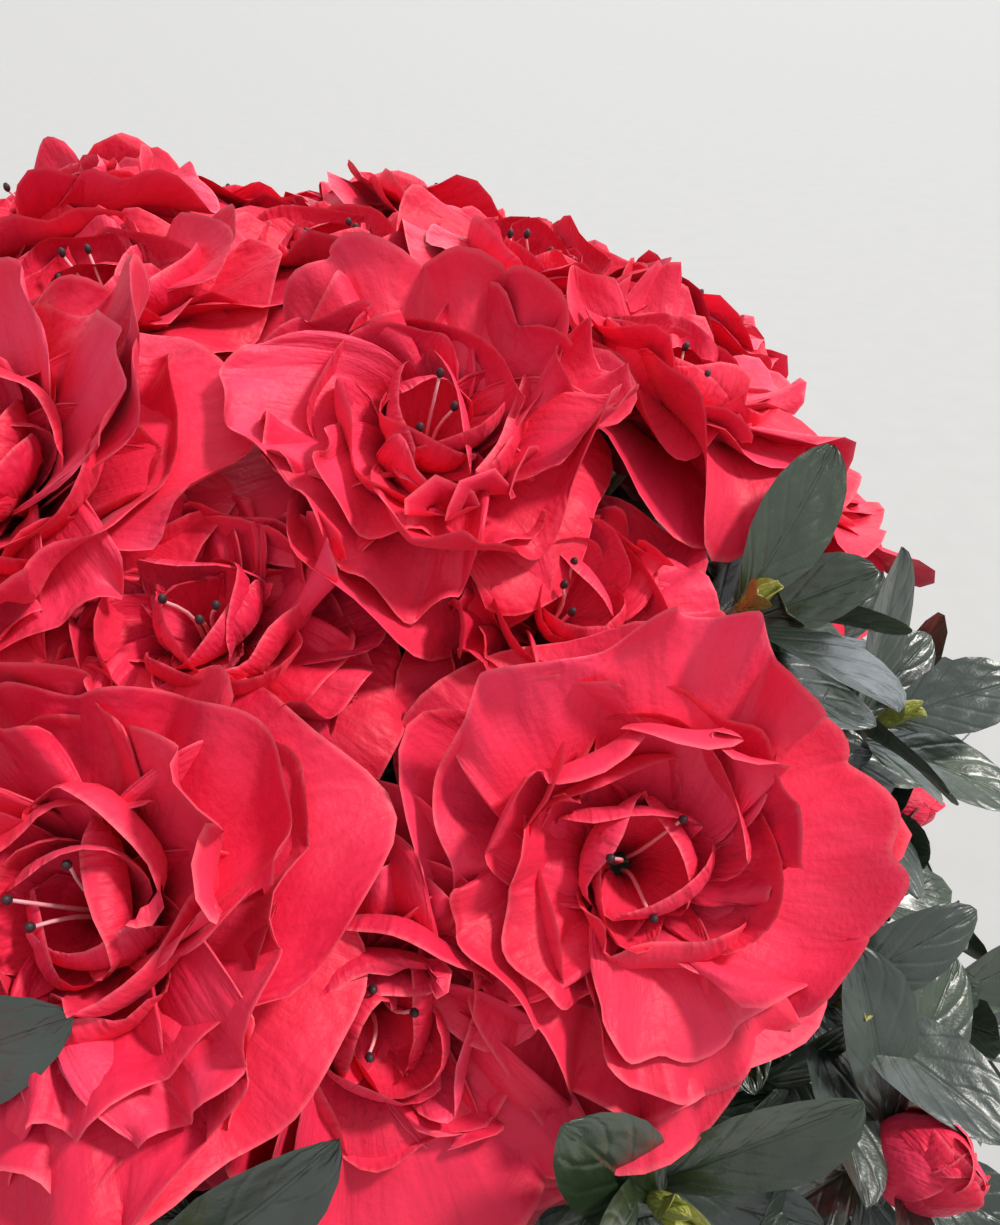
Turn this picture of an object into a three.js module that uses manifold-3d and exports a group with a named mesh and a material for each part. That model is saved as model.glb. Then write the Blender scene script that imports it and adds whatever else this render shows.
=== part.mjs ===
// A compact evergreen azalea in full bloom, rooted in the ground. A short flared trunk carries limbs that
// fan out under a round crown. Double ruffled blooms cover the top, and whorls of leaves make the skirt.
// Millimetres, Z up. The ground is z = 0, and the origin is the middle of the flat cut under the trunk.
import * as THREE from "three";
import { mergeVertices } from "three/addons/utils/BufferGeometryUtils.js";
import Module from "manifold-3d";

const wasm = await Module();
wasm.setup();

// The crown is a ball, drawn in below its middle. Its surface carries the rim of each bloom.
const CROWN_CENTRE = new THREE.Vector3(0, 0, 182);
const CROWN_RADIUS = 205;
const SKIRT_TUCK = 0.16; // share of the radius that the lowest shoots lose
const LIMB_REACH = 0.54; // share of the radius where the limbs end and the foliage begins
const LOWEST_SHOOT = -40; // degrees of elevation from the crown's centre
const STEM_OVERLAP = 2; // how far a stem runs on past its fork, into the roots of its twigs
const LEAST_HEIGHT = 35; // no leaf hangs lower over the ground
const CLEARANCE = 0.3; // between two pieces that meet
const SLIVER = 0.06; // edges shorter than this are smoothed away

// The trunk: a short leaning stem with a root flare of five ribs.
const TRUNK_HEIGHT = 76;
const TRUNK_LEAN = new THREE.Vector3(6, -3, 0); // from the foot's middle to the fork's
const TRUNK_BEND = { across: 0.2, up: 0.5 }; // where its bend lies, as shares of its lean and height
const TRUNK_FOOT_RADIUS = 13;
const TRUNK_TOP_RADIUS = 10;
const FLARE_WIDTH = 11;
const FLARE_HEIGHT = 13;
const FLARE_RIBS = 5;
const RIB_SHARE = 0.28; // of the flare's width, which comes and goes with the ribs
const CUT_BELOW = 6; // how far the trunk runs on before it is cut flat
const TRUNK_SIDES = 15;
const TRUNK_STEPS = 6;

// Blooms stand this far apart, and leafy shoots that far.
const BLOOM_SPACING = 55;
const SHOOT_SPACING = 72;
const CANDIDATES = 1500; // places tried, along a spiral from the top down
const GOLDEN_TURN = Math.PI * (3 - Math.sqrt(5));
const FACE_JITTER = 0.2; // how far a bloom's face strays from looking straight out
const LIFT_JITTER = 7; // and how far its rim stands in or out of the crown's surface
const SIZE_RANGE = { least: 0.94, more: 0.12 }; // of the blooms, round their natural size

// Blooms reach down to this elevation, except on the leafy side that looks to the right.
const BLOOM_LINE = 20;
const LEAFY_SIDE = { azimuth: 72, rise: 26, width: 42 };
const BUD_SHARE = 0.3; // of the leafy shoots in the upper skirt, which end in a bud

// The blooms and shoots of the front, where each one has its own place: azimuth and elevation seen from
// the crown's centre (0 is the front and 90 the right), how far it stands out, and where its face looks.
const FRONT_BLOOMS = [
  { azimuth: 34, elevation: 36.5, lift: 8, faceAzimuth: 12, faceElevation: 44, size: 1.06 },
  { azimuth: 35, elevation: 61.5, lift: 4, faceAzimuth: 20, faceElevation: 62, size: 1.06 },
  { azimuth: 43, elevation: 50, lift: -8, faceAzimuth: 38, faceElevation: 58, size: 0.95 },
  { azimuth: 76, elevation: 56, lift: 6, faceAzimuth: 82, faceElevation: 62, size: 1 },
  { azimuth: 93, elevation: 67, lift: 4, faceAzimuth: 78, faceElevation: 76, size: 1 },
  { azimuth: 116, elevation: 81, lift: -8, faceAzimuth: 60, faceElevation: 84, size: 0.96 },
  { azimuth: -113, elevation: 77, lift: 2, faceAzimuth: -70, faceElevation: 78, size: 1 },
  { azimuth: -25, elevation: 79, lift: -4, faceAzimuth: -20, faceElevation: 74, size: 0.98 },
  { azimuth: -12, elevation: 60, lift: 6, faceAzimuth: -8, faceElevation: 54, size: 1.06 },
  { azimuth: 9, elevation: 54, lift: -4, faceAzimuth: 5, faceElevation: 60, size: 0.95 },
  { azimuth: 2, elevation: 39.5, lift: 8, faceAzimuth: -6, faceElevation: 45, size: 1.06 },
  { azimuth: 18, elevation: 32, lift: -4, faceAzimuth: 17, faceElevation: 26, size: 1 },
];
const FRONT_SHOOTS = [
  { kind: "shoot", azimuth: 58, elevation: 44, lift: 0, faceAzimuth: 45, faceElevation: 52 },
  { kind: "shoot", azimuth: 67, elevation: 31, lift: 2, faceAzimuth: 55, faceElevation: 45 },
  { kind: "shoot", azimuth: 48, elevation: 22, lift: 2, faceAzimuth: 43, faceElevation: 38 },
  { kind: "bud", azimuth: 45.5, elevation: 14.5, lift: 14, faceAzimuth: 36, faceElevation: 42 },
  { kind: "shoot", azimuth: 31, elevation: 19, lift: 2, faceAzimuth: 26, faceElevation: 32 },
  { kind: "shoot", azimuth: 6, elevation: 23, lift: 2, faceAzimuth: 4, faceElevation: 34 },
  { kind: "shoot", azimuth: -13, elevation: 30, lift: 2, faceAzimuth: -8, faceElevation: 40 },
];

// The masses of foliage, as rings round the crown's axis. Each has one bough, which leaves the trunk, or the
// leader where `fromLeader` says so, at `foot` along it. Its stem divides at `fork`, a share of the radius.
const RINGS = [
  { name: "top", count: 1, elevation: 90, turn: 0, foot: 0.96, fork: 0.62, radius: 6.5, fromLeader: false },
  { name: "middle", count: 6, elevation: 20, turn: 5, foot: 0.9, fork: 0.64, radius: 5.4, fromLeader: false },
  { name: "low", count: 6, elevation: -21, turn: 35, foot: 0.62, fork: 0.64, radius: 4.4, fromLeader: false },
  { name: "upper", count: 5, elevation: 52, turn: 38, foot: 0.34, fork: 0.66, radius: 4.2, fromLeader: true },
];
const RING_STRAY = { azimuth: 12, elevation: 8 }; // degrees that a mass strays from its place in the ring
const BOUGH_PULL = 0.4; // how far a bough holds its first and last directions, for its span
const BOUGH_TIP_RADIUS = 2.9;
const BOUGH_SIDES = 5;
const BOUGH_STEPS = 4;

// Twigs have three sides, and a leaf is a flattened octahedron.
const TWIG_RADIUS = 2.9;
const TWIG_TIP_RADIUS = 2.5;
const TWIG_SIDES = 3;
const TWIG_STEPS = 2;
const TWIG_PULL = 0.35;
const TWIG_END = { bloom: 30, bud: 0, shoot: 6 }; // how far under its site a twig ends
const LEAF_LENGTH = 46;
const LEAF_WIDTH = 19;
const LEAF_THICKNESS = 1.2;
const LEAF_WIDEST = 0.56; // share of the length
const LEAF_ARCH = { edge: 0.04, tip: -0.06 }; // how far its edges rise and its tip hangs, for its length
const LEAF_SUNK = 1; // how far its root runs past the twig's middle
const LEAF_SIZES = { least: 0.8, more: 0.3 };
const LEAF_STEP = 3; // along the twig, from one leaf to the next
const LEAVES = { bloom: 2, bud: 4, shoot: 8 };
const LEAF_OPENING = { bloom: 76, bud: 60, shoot: 42 }; // degrees from the twig, for the topmost leaf
const LEAF_DROOP = 30; // how many degrees more for the lowest
const LEAF_STRAY = 10; // the range of degrees that it strays by chance

// A bloom is a funnel of five lobes round a cupped heart. Heights are from the rim's plane.
const BLOOM_RADIUS = 41;
const BLOOM_DEPTH = 35;
const THROAT = { radius: 8, height: -18 }; // where the tube opens into the funnel
const BLOOM_LOBES = 5;
const LOBE_NOTCH = 0.12; // how far the rim draws in between two lobes
const RUFFLE = 3.5; // how far the rim waves up and down
const RUFFLE_BETWEEN = 0.2; // share of that which is left between two lobes
const HEART_RADIUS = 14;
const HEART_HEIGHT = 5;
const HEART_MOAT = { width: 2, height: -5 }; // the dip between the heart and the petals round it
const HEART_DIP = 4; // how far the middle of the heart lies under its rim
const NEIGHBOUR_REACH = 100; // blooms nearer than this crowd each other
const CROWDING = 8; // how sharply a bloom stops short of the middle way to its neighbour
const TURN_UP = 0.85; // how far a crowded rim turns up, for what it is drawn in
const SHARES = { even: 0.5, least: 0.36, most: 0.64 }; // of the way to a neighbour that a bloom may take
const LIFT_FOR_ALL = 60; // the lift over a neighbour that would give a bloom half the way more
const ASIDE = 0.15; // a neighbour this far aside, as a cosine, takes no room

const BUD_LENGTH = 31;
const BUD_RADIUS = 10.5;
const BUD_TAPER = 0.18; // how much narrower its tip half is than its foot half
const BUD_RAISED = 0.7; // how far its middle stands over its site, in half lengths
const BUD_SIDES = 7;
const BUD_STEPS = 5;

const COLOURS = {
  bark: { color: 0x6b5442, roughness: 0.9, metalness: 0 },
  leaves: { color: 0x2f4a2b, roughness: 0.4, metalness: 0 },
  blooms: { color: 0xd8203e, roughness: 0.55, metalness: 0 },
};

/** The unit vector that looks to an azimuth and an elevation, in degrees. */
function facing(azimuth, elevation) {
  const a = THREE.MathUtils.degToRad(azimuth);
  const e = THREE.MathUtils.degToRad(elevation);
  return new THREE.Vector3(Math.sin(a) * Math.cos(e), -Math.cos(a) * Math.cos(e), Math.sin(e));
}

/** A number from 0 to 1 that the same seed always gives again. */
function chance(seed) {
  const wave = Math.sin(seed * 12.9898 + 78.233) * 43758.5453;
  return wave - Math.floor(wave);
}

/** How far the crown reaches from its centre in a direction. */
function reach(direction) {
  const below = Math.min(direction.z, 0) / Math.sin(THREE.MathUtils.degToRad(LOWEST_SHOOT));
  return CROWN_RADIUS * (1 - SKIRT_TUCK * below * below);
}

/** The point of the crown at a share of its reach. */
function crownPoint(direction, share, lift = 0) {
  return CROWN_CENTRE.clone().addScaledVector(direction, reach(direction) * share + lift);
}

/** Two unit vectors square to a direction and to each other: side x direction = other. */
function squareTo(direction) {
  const helper = Math.abs(direction.z) > 0.9 ? new THREE.Vector3(0, 1, 0) : new THREE.Vector3(0, 0, 1);
  const side = helper.cross(direction).normalize();
  return { side, other: side.clone().cross(direction) };
}

/** A closed three.js geometry as a manifold solid. */
function solidOf(geometry) {
  const bare = geometry.clone();
  bare.deleteAttribute("normal");
  bare.deleteAttribute("uv");
  const merged = mergeVertices(bare, 1e-4);
  const corners = merged.index.array;
  const kept = [];
  for (let i = 0; i < corners.length; i += 3) {
    const [a, b, c] = corners.slice(i, i + 3);
    if (a !== b && b !== c && c !== a) kept.push(a, b, c);
  }
  const vertProperties = new Float32Array(merged.attributes.position.array);
  const solid = new wasm.Mesh({ numProp: 3, vertProperties, triVerts: new Uint32Array(kept) });
  return new wasm.Manifold(solid);
}

/** A manifold solid as a three.js geometry. */
function geometryOf(solid) {
  const { vertProperties, triVerts, numProp } = solid.getMesh();
  const points = new Float32Array((vertProperties.length / numProp) * 3);
  for (let i = 0; i < points.length / 3; i += 1) {
    points.set(vertProperties.subarray(i * numProp, i * numProp + 3), i * 3);
  }
  const geometry = new THREE.BufferGeometry();
  geometry.setAttribute("position", new THREE.BufferAttribute(points, 3));
  geometry.setIndex(new THREE.BufferAttribute(new Uint32Array(triVerts), 1));
  return geometry;
}

/** The largest body of a solid, with any sealed hollow filled, any scrap dropped and its slivers smoothed. */
function mainBody(solid) {
  const bodies = solid.asOriginal().simplify(SLIVER).decompose();
  return bodies.reduce((most, body) => (body.volume() > most.volume() ? body : most));
}

/** A cylinder bent onto a curve. Its radius comes from a share of its length and an angle round it. */
function limb(curve, sides, steps, radiusAt, grown = 0) {
  const shape = new THREE.CylinderGeometry(1, 1, 1, sides, steps);
  const { tangents, normals } = curve.computeFrenetFrames(steps, false);
  const place = shape.attributes.position;
  for (let i = 0; i < place.count; i += 1) {
    const step = Math.round((place.getY(i) + 0.5) * steps);
    const share = step / steps;
    const spread = Math.hypot(place.getX(i), place.getZ(i));
    const angle = Math.atan2(place.getZ(i), place.getX(i));
    const radius = spread * (radiusAt(share, angle) + grown);
    const other = normals[step].clone().cross(tangents[step]);
    const point = curve.getPointAt(share);
    point.addScaledVector(normals[step], radius * Math.cos(angle));
    point.addScaledVector(other, radius * Math.sin(angle));
    if (step === 0) point.addScaledVector(tangents[0], -grown);
    if (step === steps) point.addScaledVector(tangents[steps], grown);
    place.setXYZ(i, point.x, point.y, point.z);
  }
  return solidOf(shape);
}

/** The radius of a limb that thins evenly from its foot to its tip. */
function taper(footRadius, tipRadius) {
  return (share) => footRadius + (tipRadius - footRadius) * share;
}

/** A smooth curve that leaves one point in a direction and reaches another in a second direction. */
function sweep(from, leaving, to, arriving, pull) {
  const span = from.distanceTo(to) * pull;
  const first = from.clone().addScaledVector(leaving, span);
  const second = to.clone().addScaledVector(arriving, -span);
  return new THREE.CubicBezierCurve3(from, first, second, to);
}

/** One bloom or shoot, from its place on the crown and the way it faces. */
function siteAt(kind, direction, lift, face, size, seed) {
  const point = crownPoint(direction, 1, lift);
  return { kind, direction, lift, face, size, seed, point, ...squareTo(face) };
}

/** The lowest elevation that blooms reach at an azimuth, in degrees. */
function bloomLine(azimuth) {
  const away = (azimuth - LEAFY_SIDE.azimuth) / LEAFY_SIDE.width;
  return BLOOM_LINE + LEAFY_SIDE.rise * Math.exp(-away * away);
}

/** All blooms, shoots and buds: those of the front first, then a seeded spiral that fills the crown. */
function growSites() {
  const placed = [...FRONT_BLOOMS.map((row) => ({ kind: "bloom", ...row })), ...FRONT_SHOOTS];
  const sites = placed.map((row, i) => {
    const face = facing(row.faceAzimuth, row.faceElevation);
    return siteAt(row.kind, facing(row.azimuth, row.elevation), row.lift, face, row.size ?? 1, i);
  });
  const lowest = Math.sin(THREE.MathUtils.degToRad(LOWEST_SHOOT));
  for (let i = 0; i < CANDIDATES; i += 1) {
    const height = 1 - ((i + 0.5) / CANDIDATES) * (1 - lowest);
    const elevation = THREE.MathUtils.radToDeg(Math.asin(height));
    const azimuth = (THREE.MathUtils.radToDeg(i * GOLDEN_TURN) % 360) - 180;
    const direction = facing(azimuth, elevation);
    const blooms = elevation > bloomLine(azimuth);
    const spacing = (blooms ? BLOOM_SPACING : SHOOT_SPACING) / CROWN_RADIUS;
    if (sites.some((site) => site.direction.distanceTo(direction) < spacing)) continue;
    const seed = sites.length;
    const stray = new THREE.Vector3(chance(seed) - 0.5, chance(seed + 0.1) - 0.5, chance(seed + 0.2) - 0.2);
    const face = direction.clone().addScaledVector(stray, 2 * FACE_JITTER).normalize();
    const budding = elevation > 0 && chance(seed + 0.3) < BUD_SHARE;
    const kind = blooms ? "bloom" : budding ? "bud" : "shoot";
    const lift = (chance(seed + 0.4) - 0.5) * 2 * LIFT_JITTER;
    const size = SIZE_RANGE.least + SIZE_RANGE.more * chance(seed + 0.5);
    sites.push(siteAt(kind, direction, lift, face, size, seed));
  }
  return sites;
}

/** The masses with their directions and sites. Each site belongs to the mass that it is nearest to. */
function growMasses(sites) {
  const masses = RINGS.flatMap((ring, r) =>
    Array.from({ length: ring.count }, (_, i) => {
      const seed = r * 10 + i;
      const azimuth = ring.turn + (i * 360) / ring.count + (chance(seed) - 0.5) * RING_STRAY.azimuth;
      const stray = ring.count > 1 ? (chance(seed + 0.5) - 0.5) * RING_STRAY.elevation : 0;
      const name = ring.count > 1 ? `${ring.name}_${i + 1}` : ring.name;
      return { name, ring, direction: facing(azimuth, ring.elevation + stray), sites: [] };
    }),
  );
  for (const site of sites) {
    const nearer = (a, b) => (site.direction.dot(a.direction) >= site.direction.dot(b.direction) ? a : b);
    site.mass = masses.reduce(nearer);
    site.mass.sites.push(site);
  }
  return masses;
}

/** The planes through the crown's centre that part a site from the sites of other masses. */
function wallsOf(site, sites) {
  const others = sites.filter((other) => other.mass !== site.mass);
  return others.map((other) => site.direction.clone().sub(other.direction).normalize());
}

/** True if all corners of a solid lie in the site's own space, outside the limbs and over the ground. */
function keepsToSpace(solid, walls) {
  const { vertProperties } = solid.getMesh();
  const point = new THREE.Vector3();
  for (let i = 0; i < vertProperties.length; i += 3) {
    point.fromArray(vertProperties, i);
    if (point.z < LEAST_HEIGHT) return false;
    point.sub(CROWN_CENTRE);
    if (point.length() < CROWN_RADIUS * LIMB_REACH) return false;
    if (walls.some((wall) => point.dot(wall) < CLEARANCE / 2)) return false;
  }
  return true;
}

/** The trunk, from its flat cut at the ground to the fork. */
function trunkCurve() {
  const top = TRUNK_LEAN.clone().setZ(TRUNK_HEIGHT);
  const bend = TRUNK_LEAN.clone().multiplyScalar(TRUNK_BEND.across).setZ(TRUNK_HEIGHT * TRUNK_BEND.up);
  return new THREE.QuadraticBezierCurve3(new THREE.Vector3(0, 0, 0), bend, top);
}

/** The trunk's radius, with its root flare. */
function trunkRadius(share, angle) {
  const height = share * TRUNK_HEIGHT;
  const ribs = 1 - RIB_SHARE * (1 - Math.cos(FLARE_RIBS * angle));
  const flare = FLARE_WIDTH * Math.exp(-height / FLARE_HEIGHT) * ribs;
  return taper(TRUNK_FOOT_RADIUS, TRUNK_TOP_RADIUS)(share) + flare;
}

/** The trunk as a solid. Its foot is cut flat at the ground. */
function trunk(grown = 0) {
  const lowered = trunkCurve();
  lowered.v0.z = -CUT_BELOW;
  return limb(lowered, TRUNK_SIDES, TRUNK_STEPS, trunkRadius, grown).trimByPlane([0, 0, 1], 0);
}

/** The curve of a mass's bough, from inside the limb that carries it to where its foliage begins. */
function boughCurve(mass, carrier) {
  const foot = carrier.getPointAt(mass.ring.foot);
  const tip = crownPoint(mass.direction, LIMB_REACH);
  const outward = tip.clone().sub(foot).normalize();
  const leaving = outward.add(carrier.getTangentAt(mass.ring.foot)).normalize();
  return sweep(foot, leaving, tip, mass.direction, BOUGH_PULL);
}

/** The trunk and all boughs, each cut clear of those before it. */
function growLimbs(masses) {
  const limbs = [{ name: "trunk", solid: trunk() }];
  let taken = trunk(CLEARANCE);
  const stem = trunkCurve();
  let leader = stem;
  for (const mass of masses) {
    const curve = boughCurve(mass, mass.ring.fromLeader ? leader : stem);
    if (mass.ring.name === "top") leader = curve;
    const radius = taper(mass.ring.radius, BOUGH_TIP_RADIUS);
    const solid = mainBody(limb(curve, BOUGH_SIDES, BOUGH_STEPS, radius).subtract(taken));
    taken = taken.add(limb(curve, BOUGH_SIDES, BOUGH_STEPS, radius, CLEARANCE));
    limbs.push({ name: `${mass.name}_bough`, solid });
  }
  return { limbs, taken };
}

/** The curve of a site's twig, from the fork of its mass to the foot of its bloom, bud or whorl. */
function twigCurve(site) {
  const fork = crownPoint(site.mass.direction, site.mass.ring.fork);
  const tip = site.point.clone().addScaledVector(site.face, -TWIG_END[site.kind]);
  const outward = tip.clone().sub(fork).normalize();
  return sweep(fork, outward.add(site.mass.direction).normalize(), tip, site.face, TWIG_PULL);
}

/** The stem and twigs of a mass. The last straight run of each twig is the shoot that bears its leaves. */
function growTwigs(mass) {
  const from = crownPoint(mass.direction, LIMB_REACH, CLEARANCE);
  const fork = crownPoint(mass.direction, mass.ring.fork, STEM_OVERLAP);
  const stem = new THREE.LineCurve3(from, fork);
  const twigs = mass.sites.map((site) => {
    const twig = twigCurve(site);
    site.shoot = new THREE.LineCurve3(twig.getPointAt(1 - 1 / TWIG_STEPS), twig.getPointAt(1));
    return limb(twig, TWIG_SIDES, TWIG_STEPS, taper(TWIG_RADIUS, TWIG_TIP_RADIUS));
  });
  return wasm.Manifold.union([limb(stem, BOUGH_SIDES, 1, () => BOUGH_TIP_RADIUS), ...twigs]);
}

/** A leaf of eight faces, from its root out along a direction, with its face turned to a normal. */
function leaf(root, along, normal, length, width) {
  const shape = new THREE.OctahedronGeometry(1);
  const across = normal.clone().cross(along);
  const place = shape.attributes.position;
  const corner = new THREE.Vector3();
  for (let i = 0; i < place.count; i += 1) {
    corner.fromBufferAttribute(place, i);
    const atTip = corner.x > 0.5;
    const atRoot = corner.x < -0.5;
    const run = atTip ? 1 : atRoot ? 0 : LEAF_WIDEST;
    const rise = atTip ? LEAF_ARCH.tip : atRoot ? 0 : LEAF_ARCH.edge * Math.abs(corner.y);
    const point = root.clone().addScaledVector(along, run * length);
    point.addScaledVector(across, (corner.y * width) / 2);
    point.addScaledVector(normal, rise * length + (corner.z * LEAF_THICKNESS) / 2);
    place.setXYZ(i, point.x, point.y, point.z);
  }
  return solidOf(shape);
}

/** The whorl of leaves of a site, each a golden turn and a step down from the one above. */
function growLeaves(site, walls, obstacles) {
  const count = LEAVES[site.kind];
  const axis = site.shoot.getTangent(1);
  const { side, other } = squareTo(axis);
  const leaves = [];
  for (let i = 0; i < count; i += 1) {
    const node = site.shoot.v2.clone().addScaledVector(axis, -LEAF_STEP * (i + 1));
    const turn = i * GOLDEN_TURN + site.seed;
    const outward = side.clone().multiplyScalar(Math.cos(turn)).addScaledVector(other, Math.sin(turn));
    const droop = LEAF_DROOP * (i / count) + LEAF_STRAY * (chance(site.seed + i * 0.7) - 0.5);
    const open = THREE.MathUtils.degToRad(LEAF_OPENING[site.kind] + droop);
    const along = axis.clone().multiplyScalar(Math.cos(open)).addScaledVector(outward, Math.sin(open));
    const normal = axis.clone().multiplyScalar(Math.sin(open)).addScaledVector(outward, -Math.cos(open));
    const scale = LEAF_SIZES.least + LEAF_SIZES.more * chance(site.seed * 3 + i);
    const root = node.clone().addScaledVector(along, -LEAF_SUNK);
    const made = leaf(root, along, normal, LEAF_LENGTH * scale, LEAF_WIDTH * scale);
    if (keepsToSpace(made, walls) && made.intersect(obstacles).isEmpty()) leaves.push(made);
  }
  return leaves;
}

/** How far a bloom may spread at an angle before it meets the middle way to its neighbours. */
function roomAt(site, angle, neighbours) {
  const heading = site.side.clone().multiplyScalar(Math.cos(angle));
  heading.addScaledVector(site.other, Math.sin(angle));
  let room = Infinity;
  for (const other of neighbours) {
    const apart = other.point.clone().sub(site.point);
    const towards = apart.addScaledVector(site.face, -apart.dot(site.face));
    const raised = SHARES.even + (site.lift - other.lift) / LIFT_FOR_ALL;
    const share = THREE.MathUtils.clamp(raised, SHARES.least, SHARES.most);
    const half = towards.length() * share;
    const cosine = towards.normalize().dot(heading);
    if (cosine > ASIDE) room = Math.min(room, half / cosine);
  }
  return room;
}

/**
 * A double bloom: a lathed funnel whose rim is lobed and ruffled, and turned up where it is crowded. Its
 * profile runs from the foot of the tube up the outside to the rim, and back to the middle of the heart.
 */
function bloom(site, neighbours) {
  const petalsEnd = HEART_RADIUS + HEART_MOAT.width;
  const profile = [
    [0, -BLOOM_DEPTH],
    [THROAT.radius, THROAT.height],
    [BLOOM_RADIUS, 0],
    [petalsEnd, HEART_MOAT.height],
    [HEART_RADIUS, HEART_HEIGHT],
    [0, HEART_HEIGHT - HEART_DIP],
  ].map(([radius, height]) => new THREE.Vector2(radius, height));
  const shape = new THREE.LatheGeometry(profile, BLOOM_LOBES * 2);
  const place = shape.attributes.position;
  for (let i = 0; i < place.count; i += 1) {
    const flat = Math.hypot(place.getX(i), place.getZ(i));
    const angle = Math.atan2(place.getZ(i), place.getX(i));
    const lobe = (1 + Math.cos(BLOOM_LOBES * angle + Math.PI)) / 2;
    const outer = THREE.MathUtils.smoothstep(flat, petalsEnd, BLOOM_RADIUS);
    const rim = BLOOM_RADIUS * site.size * (1 - LOBE_NOTCH * (1 - lobe));
    const room = roomAt(site, angle, neighbours);
    const squeeze = (1 + (rim / room) ** CROWDING) ** (-1 / CROWDING);
    const drawnIn = 1 - (1 - squeeze) * Math.min(flat / HEART_RADIUS, 1);
    const radius = flat * site.size * (1 - outer * (1 - rim / BLOOM_RADIUS / site.size)) * drawnIn;
    const wave = RUFFLE * Math.sin(2 * angle + site.seed) * THREE.MathUtils.lerp(RUFFLE_BETWEEN, 1, lobe);
    const height = place.getY(i) + outer * (wave + TURN_UP * rim * (1 - squeeze));
    const point = site.point.clone().addScaledVector(site.face, height);
    point.addScaledVector(site.side, radius * Math.cos(angle));
    point.addScaledVector(site.other, radius * Math.sin(angle));
    place.setXYZ(i, point.x, point.y, point.z);
  }
  return solidOf(shape);
}

/** A fat bud that shows colour: a stretched ball, drawn in at its tip. */
function bud(site) {
  const shape = new THREE.SphereGeometry(1, BUD_SIDES, BUD_STEPS);
  const place = shape.attributes.position;
  for (let i = 0; i < place.count; i += 1) {
    const height = place.getY(i);
    const width = BUD_RADIUS * (1 - BUD_TAPER * height) * site.size;
    const raised = ((height + BUD_RAISED) * BUD_LENGTH) / 2;
    const point = site.point.clone().addScaledVector(site.face, raised);
    point.addScaledVector(site.side, place.getX(i) * width);
    point.addScaledVector(site.other, place.getZ(i) * width);
    place.setXYZ(i, point.x, point.y, point.z);
  }
  return solidOf(shape);
}

/** A bloom or bud, cut back to the site's own space and clear of other masses' twigs. */
function flowerOf(site, sites, walls, obstacles) {
  const near = (other) => other !== site && other.kind === "bloom";
  const crowding = sites.filter((s) => near(s) && s.point.distanceTo(site.point) < NEIGHBOUR_REACH);
  let solid = site.kind === "bloom" ? bloom(site, crowding) : bud(site);
  for (const wall of walls) {
    solid = solid.trimByPlane(wall.toArray(), wall.dot(CROWN_CENTRE) + CLEARANCE / 2);
  }
  return solid.subtract(obstacles);
}

/** A named mesh of one finish. */
function meshOf(name, solid, finish) {
  const mesh = new THREE.Mesh(geometryOf(solid), new THREE.MeshStandardMaterial(finish));
  mesh.name = name;
  return mesh;
}

/** The whole shrub. */
function growShrub() {
  const sites = growSites();
  const masses = growMasses(sites);
  const { limbs, taken } = growLimbs(masses);
  const shrub = new THREE.Group();
  for (const { name, solid } of limbs) shrub.add(meshOf(name, solid, COLOURS.bark));
  const stems = masses.map(growTwigs);
  masses.forEach((mass, m) => {
    const obstacles = wasm.Manifold.union([taken, ...stems.filter((_, s) => s !== m)]);
    const pieces = mass.sites.flatMap((site) => {
      const walls = wallsOf(site, sites);
      const leaves = growLeaves(site, walls, obstacles);
      return site.kind === "shoot" ? leaves : [...leaves, flowerOf(site, sites, walls, obstacles)];
    });
    const solid = mainBody(wasm.Manifold.union([stems[m].subtract(taken), ...pieces]));
    const blooms = mass.sites.filter((site) => site.kind === "bloom");
    const inBloom = blooms.length > mass.sites.length / 2;
    shrub.add(meshOf(`${mass.name}_mass`, solid, inBloom ? COLOURS.blooms : COLOURS.leaves));
  });
  return shrub;
}

export default growShrub();
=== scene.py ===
"""The looks of a compact azalea in full bloom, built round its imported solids.

The crown grows by the same seeded rule as the solids and goes on to finer twigs, leaves and petals. Lengths
are in millimetres while things grow, and become metres where a mesh is made.
"""

import logging
import math
from dataclasses import dataclass, field, fields
from enum import Enum
from functools import partial
from typing import Any, Callable

import bpy
import numpy as np
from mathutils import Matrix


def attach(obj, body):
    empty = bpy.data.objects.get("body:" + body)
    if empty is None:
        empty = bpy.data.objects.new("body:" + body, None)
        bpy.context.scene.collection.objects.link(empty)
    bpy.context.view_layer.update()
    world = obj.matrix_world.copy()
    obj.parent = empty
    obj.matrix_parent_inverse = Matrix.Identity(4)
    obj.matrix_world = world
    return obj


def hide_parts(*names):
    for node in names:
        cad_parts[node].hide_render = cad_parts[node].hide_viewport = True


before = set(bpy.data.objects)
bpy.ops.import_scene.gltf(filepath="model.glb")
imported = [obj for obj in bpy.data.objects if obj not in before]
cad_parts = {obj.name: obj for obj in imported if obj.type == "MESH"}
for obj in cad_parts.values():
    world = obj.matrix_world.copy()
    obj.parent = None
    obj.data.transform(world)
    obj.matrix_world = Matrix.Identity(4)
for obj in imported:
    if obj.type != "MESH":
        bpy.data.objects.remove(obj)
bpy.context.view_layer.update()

Array = np.ndarray
Colour = tuple[float, float, float]

LOG = logging.getLogger("azalea")
MM = 0.001
TURN = 2 * math.pi
GOLDEN_TURN = math.pi * (3 - math.sqrt(5))
BODY = "root"


class Kind(Enum):
    """What grows at a place of the crown."""

    BLOOM = "bloom"
    BUD = "bud"
    SHOOT = "shoot"


class Slot(Enum):
    """The material slots of the record."""

    BARK = "bark"
    LEAVES = "leaves"
    PETALS = "petals"


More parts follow.
